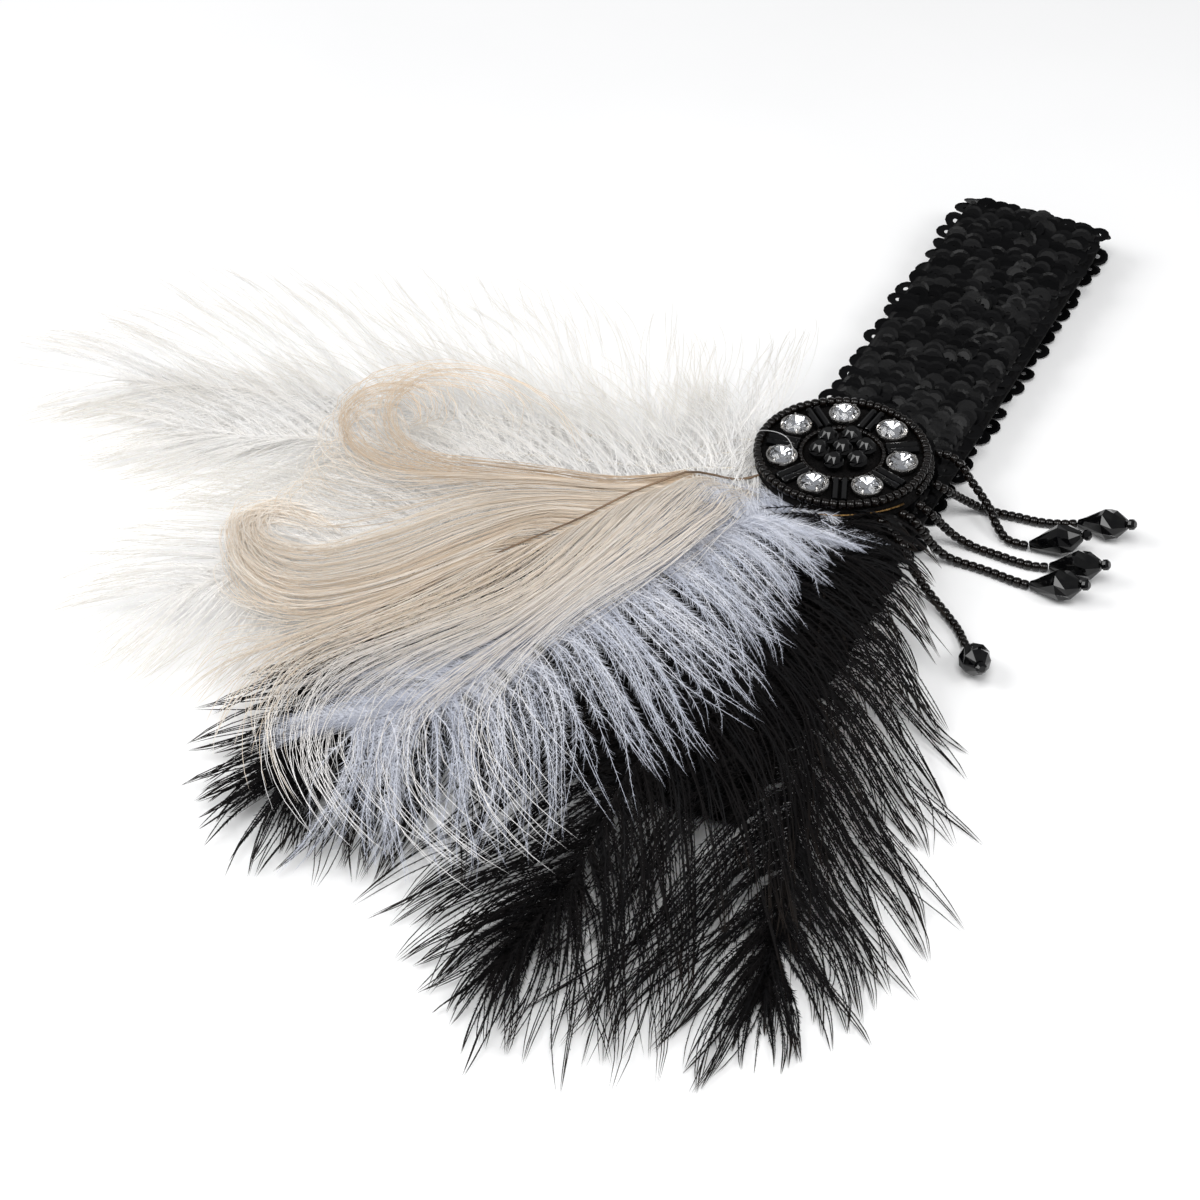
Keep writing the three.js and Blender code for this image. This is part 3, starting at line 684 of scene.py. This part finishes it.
def makeBugles():
    # a pair of tubes between two stones, from the small bead ring outwards
    length = fieldRadius - bugleInner - medallion["seedRingHalf"] - seatGap
    start = bugleInner + medallion["seedRingHalf"] + seatGap / 2
    places, directions = [], []
    for index in range(medallion["stoneCount"]):
        angle = stoneAngle(index + 0.5)
        ahead = np.array([math.cos(angle), math.sin(angle), 0.0])
        beside = np.array([-math.sin(angle), math.cos(angle), 0.0])
        for side in (-1, 1):
            offset = side * (medallion["bugleRadius"] + seatGap / 2)
            places.append(start * ahead + offset * beside + [0, medallionY, seatHeight + medallion["bugleRadius"]])
            directions.append(ahead)
    points, triangles = repeatShape(makeBugle(length), np.array(places), turnsAlong(np.array(directions), None))
    return addObject("bugle_tubes", meshFromArrays("bugle_tubes", points, triangles), jetMaterial)


def giveJet(name):
    # the solids of the larger faceted beads show as they are
    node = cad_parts[name]
    node.data.materials.clear()
    node.data.materials.append(jetMaterial)


finishPiece(makeBugles(), "jet", "bugle_beads")
innerRow = ringPlaces(bugleInner, seatHeight + 0.75 * mm, medallion["smallPitch"])
finishPiece(makeBeadRow("inner_bead_ring", smallBead, *innerRow, 31), "jet", "bugle_beads")
for number in range(7):
    giveJet(f"flower_bead_{number}")
print("medallion made")

# the fringe: start on the rim, then x, the way beyond the band's edge, and the lift as a share of the band's height
fringe = {
    "radius": 1.2 * mm, "rest": 1.4 * mm, "clearance": 0.44 * mm, "pitch": 1.98 * mm,
    "strings": (
        (305, ((14.6, -1.0, 1.06), (14.2, 2.3, 0.91), (13.3, 4.9, 0.69), (11.7, 8.7, 0.45), (9.1, 12.4, 0.29),
               (5.9, 15.5, 0.13), (3.2, 19.3, 0.03), (3.2, 24.7, 0.01))),
        (275, ((3.6, 2.2, 0.89), (6.8, 4.3, 0.57), (10.2, 7.1, 0.23), (12.2, 9.9, 0.02), (12.7, 13.9, 0.00),
               (13.2, 18.5, 0.00), (13.6, 23.5, 0.00), (15.0, 28.5, 0.00), (16.9, 32.8, 0.01))),
        (253, ((-7.1, 2.1, 0.91), (-5.0, 4.2, 0.57), (-3.2, 7.9, 0.18), (-2.7, 12.7, 0.00), (-3.2, 18.5, 0.00),
               (-3.6, 23.7, 0.00), (-3.4, 28.5, 0.00), (-2.4, 32.1, 0.01))),
        (239, ((-13.4, 0.3, 1.04), (-13.1, 2.5, 0.80), (-12.0, 4.5, 0.48), (-10.8, 7.5, 0.16), (-9.9, 11.1, 0.01),
               (-9.9, 16.0, 0.00), (-10.3, 21.1, 0.00), (-10.9, 26.1, 0.00), (-11.1, 30.2, 0.01))),
        (225, ((-20.0, -3.0, 1.06), (-23.0, 1.1, 1.01), (-25.4, 4.1, 0.80), (-27.0, 7.5, 0.50), (-28.2, 11.3, 0.23),
               (-30.4, 15.9, 0.04), (-34.2, 20.5, 0.00), (-39.2, 24.4, 0.01))),
    ),
}


def evenPlaces(route, pitch):
    way = wayAlong(route)
    count = int(round(way[-1] / pitch))
    wanted = (np.arange(count) + 0.5) * way[-1] / count
    step = 0.2 * mm
    ahead = pointsAt(route, way, wanted + step) - pointsAt(route, way, wanted - step)
    return pointsAt(route, way, wanted), normalised(ahead)


for number, (start, rows) in enumerate(fringe["strings"], 1):
    radius = rimRadius + medallion["beadRadius"] + fringe["clearance"] + fringe["radius"]
    angle = math.radians(start)
    height = band["height"] + 2 * fringe["radius"]
    points = [(radius * math.cos(angle), medallionY + radius * math.sin(angle), height)]
    for x, beyond, lift in rows:
        points.append((x * mm, -band["halfWidth"] - beyond * mm, fringe["rest"] + lift * band["height"]))
    beads = evenPlaces(smoothRoute(points), fringe["pitch"])
    string = makeBeadRow(f"bead_string_{number}", seedBead, *beads, 40 + number, wobble=0.05)
    finishPiece(string, "jet", f"fringe_string_{number}")
    giveJet(f"drop_bead_{number}")
    giveJet(f"stop_bead_{number}")
print("fringe strung")

# the plume. leave and toward are headings in degrees; reach, left and right in metres
plume = {
    "quillRadius": 1.0 * mm, "quillTipRadius": 0.7 * mm, "quillInner": 13 * mm, "tipLength": 16 * mm,
    "quillShown": 0.45, "quillLift": 0.8,
    "layerGap": 2.7 * mm, "bandClearance": 0.6 * mm, "layersStart": 24 * mm, "layersFull": 44 * mm,
    "drapeFlat": 5 * mm, "drapeEnd": 34 * mm, "firstBarb": 20, "bareEnd": 39 * mm, "bendShare": 0.48,
    "pressPlace": 41 * mm, "pressWidth": 13 * mm, "droop": 0.35, "tableClearance": 0.35 * mm,
}
# rows of a vane: share along it, length as a share of the barb's, angle at the root and at the tip
ostrichVane = ((0, 0.62, 84, 56), (0.25, 0.92, 64, 40), (0.5, 1.0, 54, 32), (0.75, 0.90, 43, 24), (1, 0.64, 20, 12))
whiteVane = ((0, 0.90, 88, 68), (0.25, 1.04, 70, 50), (0.5, 1.08, 58, 38), (0.75, 0.98, 46, 28), (1, 0.66, 22, 14))
blackVane = ((0, 0.62, 84, 50), (0.3, 1.0, 62, 28), (0.6, 1.12, 46, 18), (0.8, 0.82, 38, 18), (1, 0.44, 14, 4))
hangingVane = ((0, 0.46, 98, 84), (0.25, 0.72, 92, 78), (0.5, 1.0, 88, 73), (0.75, 0.98, 80, 66), (1, 0.80, 58, 46))
# strands of the curled feather: how many up to the next guide, the root's share of the quill, then places in plan in mm
guides = (
    (22, 0.14, ((-36, 52), (-41, 72), (-46, 92), (-39, 110), (-23, 119), (-7, 115), (-2, 98), (-8, 76), (-24, 56))),
    (20, 0.17, ((-36, 54), (-44, 79), (-47, 99), (-35, 115), (-16, 121), (-5, 109), (-12, 98), (-25, 100))),
    (30, 0.20, ((-38, 56), (-43, 76), (-50, 97), (-47, 117), (-33, 129), (-17, 124), (-15, 112), (-27, 106),
                (-32, 113))),
    (44, 0.24, ((-40, 57), (-50, 83), (-55, 104), (-47, 120), (-31, 126), (-22, 119), (-29, 111), (-36, 115))),
    (110, 0.28, ((-44, 58), (-55, 77), (-75, 92), (-88, 105), (-87, 120), (-77, 124), (-73, 113), (-78, 102))),
    (100, 0.36, ((-52, 60), (-70, 73), (-91, 86), (-102, 104), (-94, 121), (-79, 129), (-73, 119), (-72, 106))),
    (64, 0.46, ((-62, 62), (-78, 69), (-98, 82), (-110, 100), (-104, 117), (-87, 129), (-75, 128), (-75, 116))),
    (130, 0.60, ((-82, 69), (-100, 78), (-117, 91), (-132, 104), (-146, 110))),
    (104, 0.36, ((-63, 49), (-79, 53), (-93, 61), (-110, 75), (-125, 87), (-142, 86), (-156, 76), (-166, 62))),
    (100, 0.22, ((-48, 35), (-62, 36), (-79, 41), (-97, 53), (-117, 67), (-136, 73), (-154, 66), (-166, 48),
                 (-170, 32))),
    (84, 0.10, ((-36, 25), (-53, 24), (-72, 29), (-92, 39), (-110, 51), (-130, 56), (-148, 48), (-158, 30),
                (-162, 14))),
    (0, 0.06, ((-28, 17), (-44, 15), (-64, 17), (-84, 25), (-102, 33), (-118, 34), (-132, 26), (-140, 12), (-144, -2))),
)
# how the strands after a guide run: the shortest reach, how far and how late they drift, the tone and the pale ends
strandParts = {
    "loop": {"reach": 0.84, "drift": 0.4, "late": 1.2, "tone": (0.0, 0.2), "fade": 0.35},
    "curl": {"reach": 0.84, "drift": 0.6, "late": 1.2, "tone": (0.15, 1.0), "fade": 0.35},
    "side": {"reach": 0.55, "drift": 1.0, "late": 1.2, "tone": (0.15, 1.0), "fade": 0.35},
    "turn": {"reach": 0.55, "drift": 1.0, "late": 1.2, "tone": (0.4, 1.0), "fade": 1.0},
    "fan": {"reach": 0.4, "drift": 1.0, "late": 0.7, "tone": (0.4, 1.0), "fade": 1.0},
}
guideParts = [strandParts[name] for name in ("loop",) * 3 + ("curl",) * 4 + ("side", "turn", "fan", "fan")]
# the peacock feather follows the guides, so it has no vane to its left and right
featherColumns = ("name", "look", "layer", "leave", "toward", "reach", "left", "right")
featherRows = (
    ("white_ostrich_1", "white", 0, 87, 100, 190, 50, 62, {}),
    ("white_ostrich_2", "white", 1, 101, 107, 168.15, 46, 50, {}),
    ("white_ostrich_3", "white", 3, 115, 131, 168.15, 52, 50, {"count": 370, "pressed": 2}),
    ("black_ostrich_3", "black", 2, 147, 155, 171.95, 56, 46, {"from": 62, "steeper": (10, 0)}),
    # the grey_ostrich node is a white feather whose grey colours are painted shade
    ("grey_ostrich", "grey", 4, 170, 155, 152, 54, 40, {"pressed": 1.5}),
    ("black_ostrich_2", "black", 1, 184, 179, 179.93, 64, 52, {"from": 34}),
    ("black_ostrich_1", "black", 0, 198, 197, 171.95, 47, 62, {}),
    ("peacock_feather", "ivory", 5, 130, 146, 150.1, 0, 0, {"pressed": 5}),
)
feathers = [dict(zip(featherColumns, row)) | row[-1] for row in featherRows]
looks = {
    "white": {
        "slot": "white_feather", "cool": (0.93, 0.925, 0.92), "warm": (1.0, 0.98, 0.95), "tip": (0.80, 0.76, 0.69),
        "tipFrom": 0.45, "roughness": (0.6, 0.85), "sheen": 0.3, "specular": 0.3,
        "quill": ((0.70, 0.64, 0.54), (0.88, 0.85, 0.78), 200, (0.35, 0.5)),
    },
    "ivory": {
        "slot": "ivory_feather", "cool": (0.74, 0.60, 0.45), "warm": (1.0, 0.96, 0.90), "tip": (0.84, 0.83, 0.83),
        "tipFrom": 0.35, "roughness": (0.35, 0.6), "sheen": 0.2, "specular": 0.4,
        "quill": ((0.06, 0.035, 0.02), (0.26, 0.17, 0.10), 60, (0.3, 0.45)), "quillShown": 0.36, "quillLift": 3.2,
    },
    # a white feather in shade: its blue-grey strand, tip and quill colours are painted shade
    "grey": {
        "slot": "grey_feather", "cool": (0.52, 0.55, 0.64), "warm": (0.82, 0.83, 0.88), "tip": (0.56, 0.59, 0.68),
        "tipFrom": 0.5, "roughness": (0.6, 0.85), "sheen": 0.3, "specular": 0.3,
        "quill": ((0.60, 0.60, 0.62), (0.84, 0.84, 0.86), 200, (0.35, 0.5)),
    },
    "black": {
        "slot": "black_feather", "cool": (0.002, 0.002, 0.0025), "warm": (0.006, 0.005, 0.005),
        # the brown-grey tip colour is painted light, standing in for light shining through the thin barb ends
        "tip": (0.026, 0.020, 0.016), "tipFrom": 0.8, "roughness": (0.55, 0.85), "sheen": 0.0, "specular": 0.12,
        "quill": ((0.006, 0.005, 0.005), (0.03, 0.02, 0.015), 200, (0.3, 0.5)),
    },
}
softLocks = {"points": 10, "clumpPower": 2.2, "lockTurn": (3, 6), "lockSpread": 0.08}
barbs = {
    "white": softLocks | {
        "vane": whiteVane, "count": 290, "radius": 0.14 * mm, "tipRadius": 0.06 * mm,
        "barbules": 76, "barbuleLength": 2.6 * mm, "barbuleWidth": 0.14 * mm, "barbuleFade": 2.4, "barbuleAngle": 26,
        "lock": 5, "clump": 0.45, "fluff": 3.2 * mm, "wave": 12, "spread": 0.26,
    },
    "grey": softLocks | {
        "vane": ostrichVane, "count": 300, "radius": 0.13 * mm, "tipRadius": 0.04 * mm,
        "barbules": 130, "barbuleLength": 3.6 * mm, "barbuleWidth": 0.18 * mm, "barbuleFade": 3.6, "barbuleAngle": 30,
        "lock": 6, "clump": 0.6, "fluff": 3.0 * mm, "wave": 20, "spread": 0.36,
    },
    "black": {
        "vane": blackVane, "count": 300, "points": 10, "radius": 0.18 * mm, "tipRadius": 0.13 * mm,
        "barbules": 130, "barbuleLength": 2.9 * mm, "barbuleWidth": 0.46 * mm, "barbuleFade": 1.1, "barbuleAngle": 24,
        "lock": 4, "clump": 0.95, "clumpPower": 0.9, "lockTurn": (5, 9), "lockSpread": 0.15,
        "fluff": 4.0 * mm, "wave": 11, "spread": 0.34,
    },
    "ivory": {
        "points": 24, "guidePoints": 120, "radius": 0.09 * mm, "tipRadius": 0.07 * mm,
        "barbules": 36, "barbuleLength": 2.4 * mm, "barbuleWidth": 0.07 * mm, "barbuleFade": 3.0, "barbuleAngle": 16,
        "lock": 4, "fluff": 6.0 * mm, "spread": 4.2 * mm,
    },
}


def onMedallion(radius, heading):
    angle = math.radians(heading)
    return np.array([radius * math.cos(angle), medallionY + radius * math.sin(angle)])


def layerHeight(layer, x, y):
    # the underside of a layer: on the band, then down to the table beside it
    beyondEnds = np.maximum(np.maximum(band["far"] - x, x - band["fold"]), 0)
    beyond = np.hypot(beyondEnds, np.maximum(np.abs(y) - band["halfWidth"], 0))
    drape = 1 - smoothShare(plume["drapeFlat"], plume["drapeEnd"], beyond)
    spread = smoothShare(plume["layersStart"], plume["layersFull"], np.hypot(x, y - medallionY))
    return padBottom * drape + (plume["bandClearance"] * drape + layer * plume["layerGap"]) * spread


def liftOff(feather, x, y):
    # the top feathers are pressed down where they leave the medallion
    out = (np.hypot(x, y - medallionY) - plume["pressPlace"]) / plume["pressWidth"]
    return layerHeight(feather["layer"], x, y) - feather.get("pressed", 0) * mm * np.exp(-out ** 2)


def quillLine(feather, steps=400):
    reach = feather["reach"] * mm
    root = onMedallion(plume["quillInner"], feather["leave"])
    bend = onMedallion(plume["bendShare"] * reach, feather["leave"])
    end = onMedallion(reach, feather["toward"])
    t = np.linspace(0, 1, steps)[:, None]
    line = (1 - t) ** 2 * root + 2 * t * (1 - t) * bend + t * t * end
    return line, wayAlong(line)


def makeQuill(feather, look):
    look = plume | look
    line, way = quillLine(feather)
    last = normalised(line[-1] - line[-2])
    wanted = np.concatenate([np.linspace(0, way[-1], 40), way[-1] + plume["tipLength"] * np.array([0.5, 1.0])])
    bm = bmesh.new()
    verts = bmesh.ops.create_circle(bm, segments=8, radius=1, cap_ends=True)["verts"]
    edges = bm.edges[:]
    for step, distance in enumerate(wanted):
        beyond = max(distance - way[-1], 0)
        plan = pointsAt(line, way, distance) + last * beyond
        nearby = pointsAt(line, way, distance + 0.5 * mm) - pointsAt(line, way, distance - 0.5 * mm)
        share = min(distance / way[-1], 1)
        radius = plume["quillRadius"] * (1 - share) + plume["quillTipRadius"] * share
        shown = look["quillShown"] * radius * (1 - 0.6 * share) * (1 - 0.8 * beyond / plume["tipLength"])
        height = liftOff(feather, *plan) + radius * look["quillLift"]
        if step:
            verts, edges = growEdges(bm, edges)
            bmesh.ops.transform(bm, matrix=place.inverted(), verts=verts)
        turn = Matrix.Rotation(math.atan2(nearby[1], nearby[0]), 4, "Z") @ Matrix.Rotation(math.radians(90), 4, "Y")
        place = Matrix.Translation((*plan, height)) @ turn @ Matrix.Diagonal((shown, shown, 1, 1))
        bmesh.ops.transform(bm, matrix=place, verts=verts)
    bmesh.ops.contextual_create(bm, geom=edges)
    return bm


def tableColumn(table, column, along):
    return np.interp(along, [row[0] for row in table], [row[column] for row in table])


def raised(feather, plan, level, share):
    # the height of barbs over their layer, their tips drooping a little
    base = liftOff(feather, plan[..., 0], plan[..., 1])
    droop = feather["layer"] * plume["layerGap"] * plume["droop"] * share[None] ** 2
    lift = level * np.sin(math.pi * share[None] ** 0.8) ** 0.8
    z = np.maximum(base + plume["quillRadius"] + lift - droop, plume["tableClearance"])
    return np.concatenate([plan, z[..., None]], axis=-1)


def ostrichPaths(feather, kind, rng):
    # n x k x 3 points of all barbs of a feather
    line, way = quillLine(feather)
    low = (feather.get("from", plume["firstBarb"]) * mm - plume["quillInner"]) / way[-1]
    bare = (plume["bareEnd"] - plume["quillInner"]) / way[-1]
    count, steps = feather.get("count", kind["count"]), kind["points"]
    share = np.linspace(0, 1, steps)
    sides = []
    for side, length in ((1, feather["left"]), (-1, feather["right"])):
        table = hangingVane if feather["look"] == "grey" and side == 1 else kind["vane"]
        root = np.sort(low + (1 - low) * (np.arange(count) + rng.uniform(-0.4, 0.4, count)) / count).clip(0, 1)
        along = ((root - bare) / (1 - bare)).clip(-0.2, 1)
        lock = np.floor(np.arange(count) / kind["lock"] + rng.uniform(0, 1)).astype(int)
        lockWobble = rng.normal(0, 1, (lock.max() + 2, 4))[lock]
        steeper = feather.get("steeper", (0, 0))[0 if side == 1 else 1] * along
        rootTurn, tipTurn = kind["lockTurn"]
        start = tableColumn(table, 2, along) + steeper + rootTurn * lockWobble[:, 0] + rng.normal(0, 11, count)
        end = tableColumn(table, 3, along) + steeper + tipTurn * lockWobble[:, 1] + rng.normal(0, 5, count)
        uneven = (1 + kind["lockSpread"] * lockWobble[:, 2] + rng.normal(0, kind["spread"] / 2, count)).clip(0.5, 1.26)
        size = length * mm * tableColumn(table, 1, along) * uneven
        at = root * way[-1]
        ahead = pointsAt(line, way, at + 0.3 * mm) - pointsAt(line, way, at - 0.3 * mm)
        heading = np.arctan2(ahead[:, 1], ahead[:, 0])
        phase = rng.uniform(0, 1, (count, 1)) * 0.3 + lockWobble[:, :1]
        swing = share[None] * (0.8 + 0.3 * lockWobble[:, 3:4]) + phase
        wave = kind["wave"] * np.sin(2 * math.pi * swing) * share[None]
        turn = start[:, None] + (end - start)[:, None] * share[None] + wave
        angle = heading[:, None] + side * np.radians(turn)
        offsets = np.stack([np.cos(angle), np.sin(angle)], -1) * (size[:, None] / (steps - 1))[..., None]
        moved = np.cumsum((offsets[:, 1:] + offsets[:, :-1]) / 2, axis=1)
        plan = pointsAt(line, way, at)[:, None] + np.concatenate([np.zeros((count, 1, 2)), moved], axis=1)
        # barbs of a lock run together towards its middle one
        members = [lock == number for number in range(lock.max() + 1)]
        middles = np.array([plan[member].mean(axis=0) if member.any() else plan[0] for member in members])
        pull = kind["clump"] * share[None, :, None] ** kind["clumpPower"]
        plan = plan * (1 - pull) + middles[lock] * pull
        level = rng.uniform(-0.25, 1, (count, 1)) * kind["fluff"]
        sides.append(raised(feather, plan, level, share))
    return np.concatenate(sides), share


def evenSpline(points, count):
    route = smoothRoute([(x, y, 0) for x, y in points], 12)[:, :2]
    way = wayAlong(route)
    return pointsAt(route, way, np.linspace(0, way[-1], count))


def curledPaths(feather, kind, rng):
    # strands between neighbouring guides, in small bundles
    line, way = quillLine(feather)
    share = np.linspace(0, 1, kind["points"])
    even = np.arange(kind["guidePoints"])
    routes = []
    for _, root, places in guides:
        foot = pointsAt(line, way, root * way[-1])
        routes.append(evenSpline([foot] + [(x * mm, y * mm) for x, y in places], len(even)))
    plans = []
    for (count, _, _), part, route, nextRoute in zip(guides, guideParts, routes, routes[1:]):
        bundle = np.arange(count) // kind["lock"]
        bundles = bundle.max() + 1
        blend = (bundle + 0.1 + 0.8 * rng.uniform(0, 1, count)) / bundles
        reach = rng.uniform(part["reach"], 1.0, count)
        drift = (rng.normal(0, 1, (bundles, 2))[bundle] + rng.normal(0, 0.6, (count, 2))).clip(-2.2, 2.2)
        drift = drift * kind["spread"] * part["drift"]
        for k in range(count):
            whole = route * (1 - blend[k]) + nextRoute * blend[k]
            plan = pointsAt(whole, even, share * reach[k] * even[-1])
            plans.append(plan + drift[k] * share[:, None] ** part["late"])
    plans = np.array(plans)
    level = rng.uniform(0, 1, (len(plans), 1)) * kind["fluff"]
    return raised(feather, plans, level, share), share


def curledTones(tone):
    # the loops are tan, the fan over the white feather painted grey for shade is pale to its ends
    counts = [row[0] for row in guides[:-1]]
    low, high = (np.repeat([part["tone"][k] for part in guideParts], counts) for k in (0, 1))
    return low + (high - low) * tone, np.repeat([part["fade"] for part in guideParts], counts)


def strandArrays(paths, share, kind):
    # three-sided tapering tubes, each ending in a point
    count, steps = paths.shape[:2]
    ahead = normalised(np.gradient(paths, axis=1))
    side = normalised(np.cross(ahead, [0, 0, 1.0]))
    up = np.cross(side, ahead)
    radius = kind["radius"] + (kind["tipRadius"] - kind["radius"]) * share ** 0.8
    corners = []
    for corner in range(3):
        angle = 2 * math.pi * corner / 3
        corners.append(paths + radius[None, :, None] * (math.cos(angle) * side + math.sin(angle) * up))
    body = np.stack(corners, 2)[:, :-1].reshape(count, -1, 3)
    points = np.concatenate([body, paths[:, -1:]], axis=1)
    perBarb = points.shape[1]
    triangles = [[0, 2, 1]]
    for step in range(steps - 2):
        for corner in range(3):
            a, b = 3 * step + corner, 3 * step + (corner + 1) % 3
            triangles += [[a, b, b + 3], [a, b + 3, a + 3]]
    tip = perBarb - 1
    for corner in range(3):
        triangles.append([3 * (steps - 2) + corner, 3 * (steps - 2) + (corner + 1) % 3, tip])
    triangles = np.array(triangles)[None] + (np.arange(count) * perBarb)[:, None, None]
    along = np.concatenate([np.repeat(share[:-1], 3), [1.0]])
    return points.reshape(-1, 3), triangles.reshape(-1, 3), np.tile(along, count), perBarb


def barbuleArrays(paths, kind, rng):
    # one thin triangle a barbule, on both sides of each barb
    count, steps = paths.shape[:2]
    number = kind["barbules"]
    at = 0.01 + 0.96 * np.sort(rng.uniform(0, 1, (count, number)) ** 1.4, axis=1)
    cell = np.minimum((at * (steps - 1)).astype(int), steps - 2)
    part = (at * (steps - 1) - cell)[..., None]
    rows = np.arange(count)[:, None]
    root = paths[rows, cell] * (1 - part) + paths[rows, cell + 1] * part
    ahead = normalised(paths[rows, cell + 1] - paths[rows, cell])
    side = normalised(np.cross(ahead, [0, 0, 1.0]))
    up = np.cross(side, ahead)
    hand = np.where(np.arange(number) % 2 == 0, 1.0, -1.0)[None]
    roll = rng.normal(0, 0.75, (count, number))
    angle = np.radians(kind["barbuleAngle"] + rng.normal(0, 8, (count, number)))
    out = side * (hand * np.cos(roll))[..., None] + up * np.sin(roll)[..., None]
    size = kind["barbuleLength"] * (1 - at ** kind["barbuleFade"]) * rng.uniform(0.6, 1.15, (count, number))
    tip = root + (ahead * np.cos(angle)[..., None] + out * np.sin(angle)[..., None]) * size[..., None]
    half = kind["barbuleWidth"] * (0.75 - 0.5 * at)[..., None]
    points = np.stack([root - ahead * half, root + ahead * half, tip], 2).reshape(-1, 3)
    points[:, 2] = np.maximum(points[:, 2], 0.1 * mm)
    triangles = np.arange(len(points)).reshape(-1, 3)
    return points, triangles, np.repeat(at.ravel(), 3)


def makePlume():
    strandMaterials = {name: makeStrandMaterial(name + "Strands", look) for name, look in looks.items()}
    quillMaterials = {name: makeGlossyMaterial(name + "Quill", *look["quill"]) for name, look in looks.items()}
    for index, feather in enumerate(feathers):
        rng = np.random.default_rng(100 + index)
        name, lookName = feather["name"], feather["look"]
        look, kind = looks[lookName], barbs[lookName]
        curled = lookName == "ivory"
        paths, share = (curledPaths if curled else ostrichPaths)(feather, kind, rng)
        points, triangles, along, perBarb = strandArrays(paths, share, kind)
        tone = rng.uniform(0, 1, len(paths))
        if curled:
            tone, fade = curledTones(tone)
            along = along * np.repeat(fade, perBarb)
        morePoints, moreTriangles, moreAlong = barbuleArrays(paths, kind, rng)
        marks = {
            "along": np.concatenate([along, moreAlong]),
            "tone": np.concatenate([np.repeat(tone, perBarb), np.repeat(tone, 3 * kind["barbules"])]),
        }
        triangles = np.concatenate([triangles, moreTriangles + len(points)])
        barbMesh = meshFromArrays(name + "_barbs", np.concatenate([points, morePoints]), triangles, marks)
        quillMesh = meshFromBmesh(name + "_quill", makeQuill(feather, look), smooth=True)
        finishPiece(addObject(name + "_barbs", barbMesh, strandMaterials[lookName]), look["slot"], name)
        finishPiece(addObject(name + "_quill", quillMesh, quillMaterials[lookName]), look["slot"], name)
        print("feather", name, len(barbMesh.polygons))


makePlume()

# the table, the backdrop and the lights
studio = {"floorHalf": 1.6, "skyStrength": 0.3, "topPower": 8.5, "keyPower": 6, "fillPower": 4}


def makeStudio():
    bm = bmesh.new()
    bmesh.ops.create_grid(bm, x_segments=1, y_segments=1, size=studio["floorHalf"])
    floor = addObject("table_top", meshFromBmesh("table_top", bm), makeFloorMaterial())
    for name, place, size, power in (
        ("topLight", (-0.55, -0.2, 1.15), 0.6, studio["topPower"]),
        ("keyLight", (-0.45, 0.8, 0.8), 0.6, studio["keyPower"]),
        ("fillLight", (-0.1, -0.9, 0.9), 0.5, studio["fillPower"]),
    ):
        data = bpy.data.lights.new(name, "AREA")
        data.shape = "SQUARE"
        data.size = size
        data.energy = power
        light = linkObject(name, data)
        light.location = place
        light.rotation_euler = (Vector((-0.05, 0.05, 0)) - Vector(place)).to_track_quat("-Z", "Y").to_euler()
    world = bpy.data.worlds.new("paleRoom")
    bpy.context.scene.world = world
    world.use_nodes = True
    background = world.node_tree.nodes["Background"]
    background.inputs["Color"].default_value = (0.97, 0.98, 1.0, 1)
    background.inputs["Strength"].default_value = studio["skyStrength"]
    bpy.context.scene.view_settings.view_transform = "Standard"


def makeFloorMaterial():
    return makeUnevenMaterial(
        "paleTable", (0.96, 0.96, 0.96), (0.985, 0.985, 0.985), 8, Roughness=0.9, Specular_IOR_Level=0.1)[0]


makeStudio()
print("studio lit")
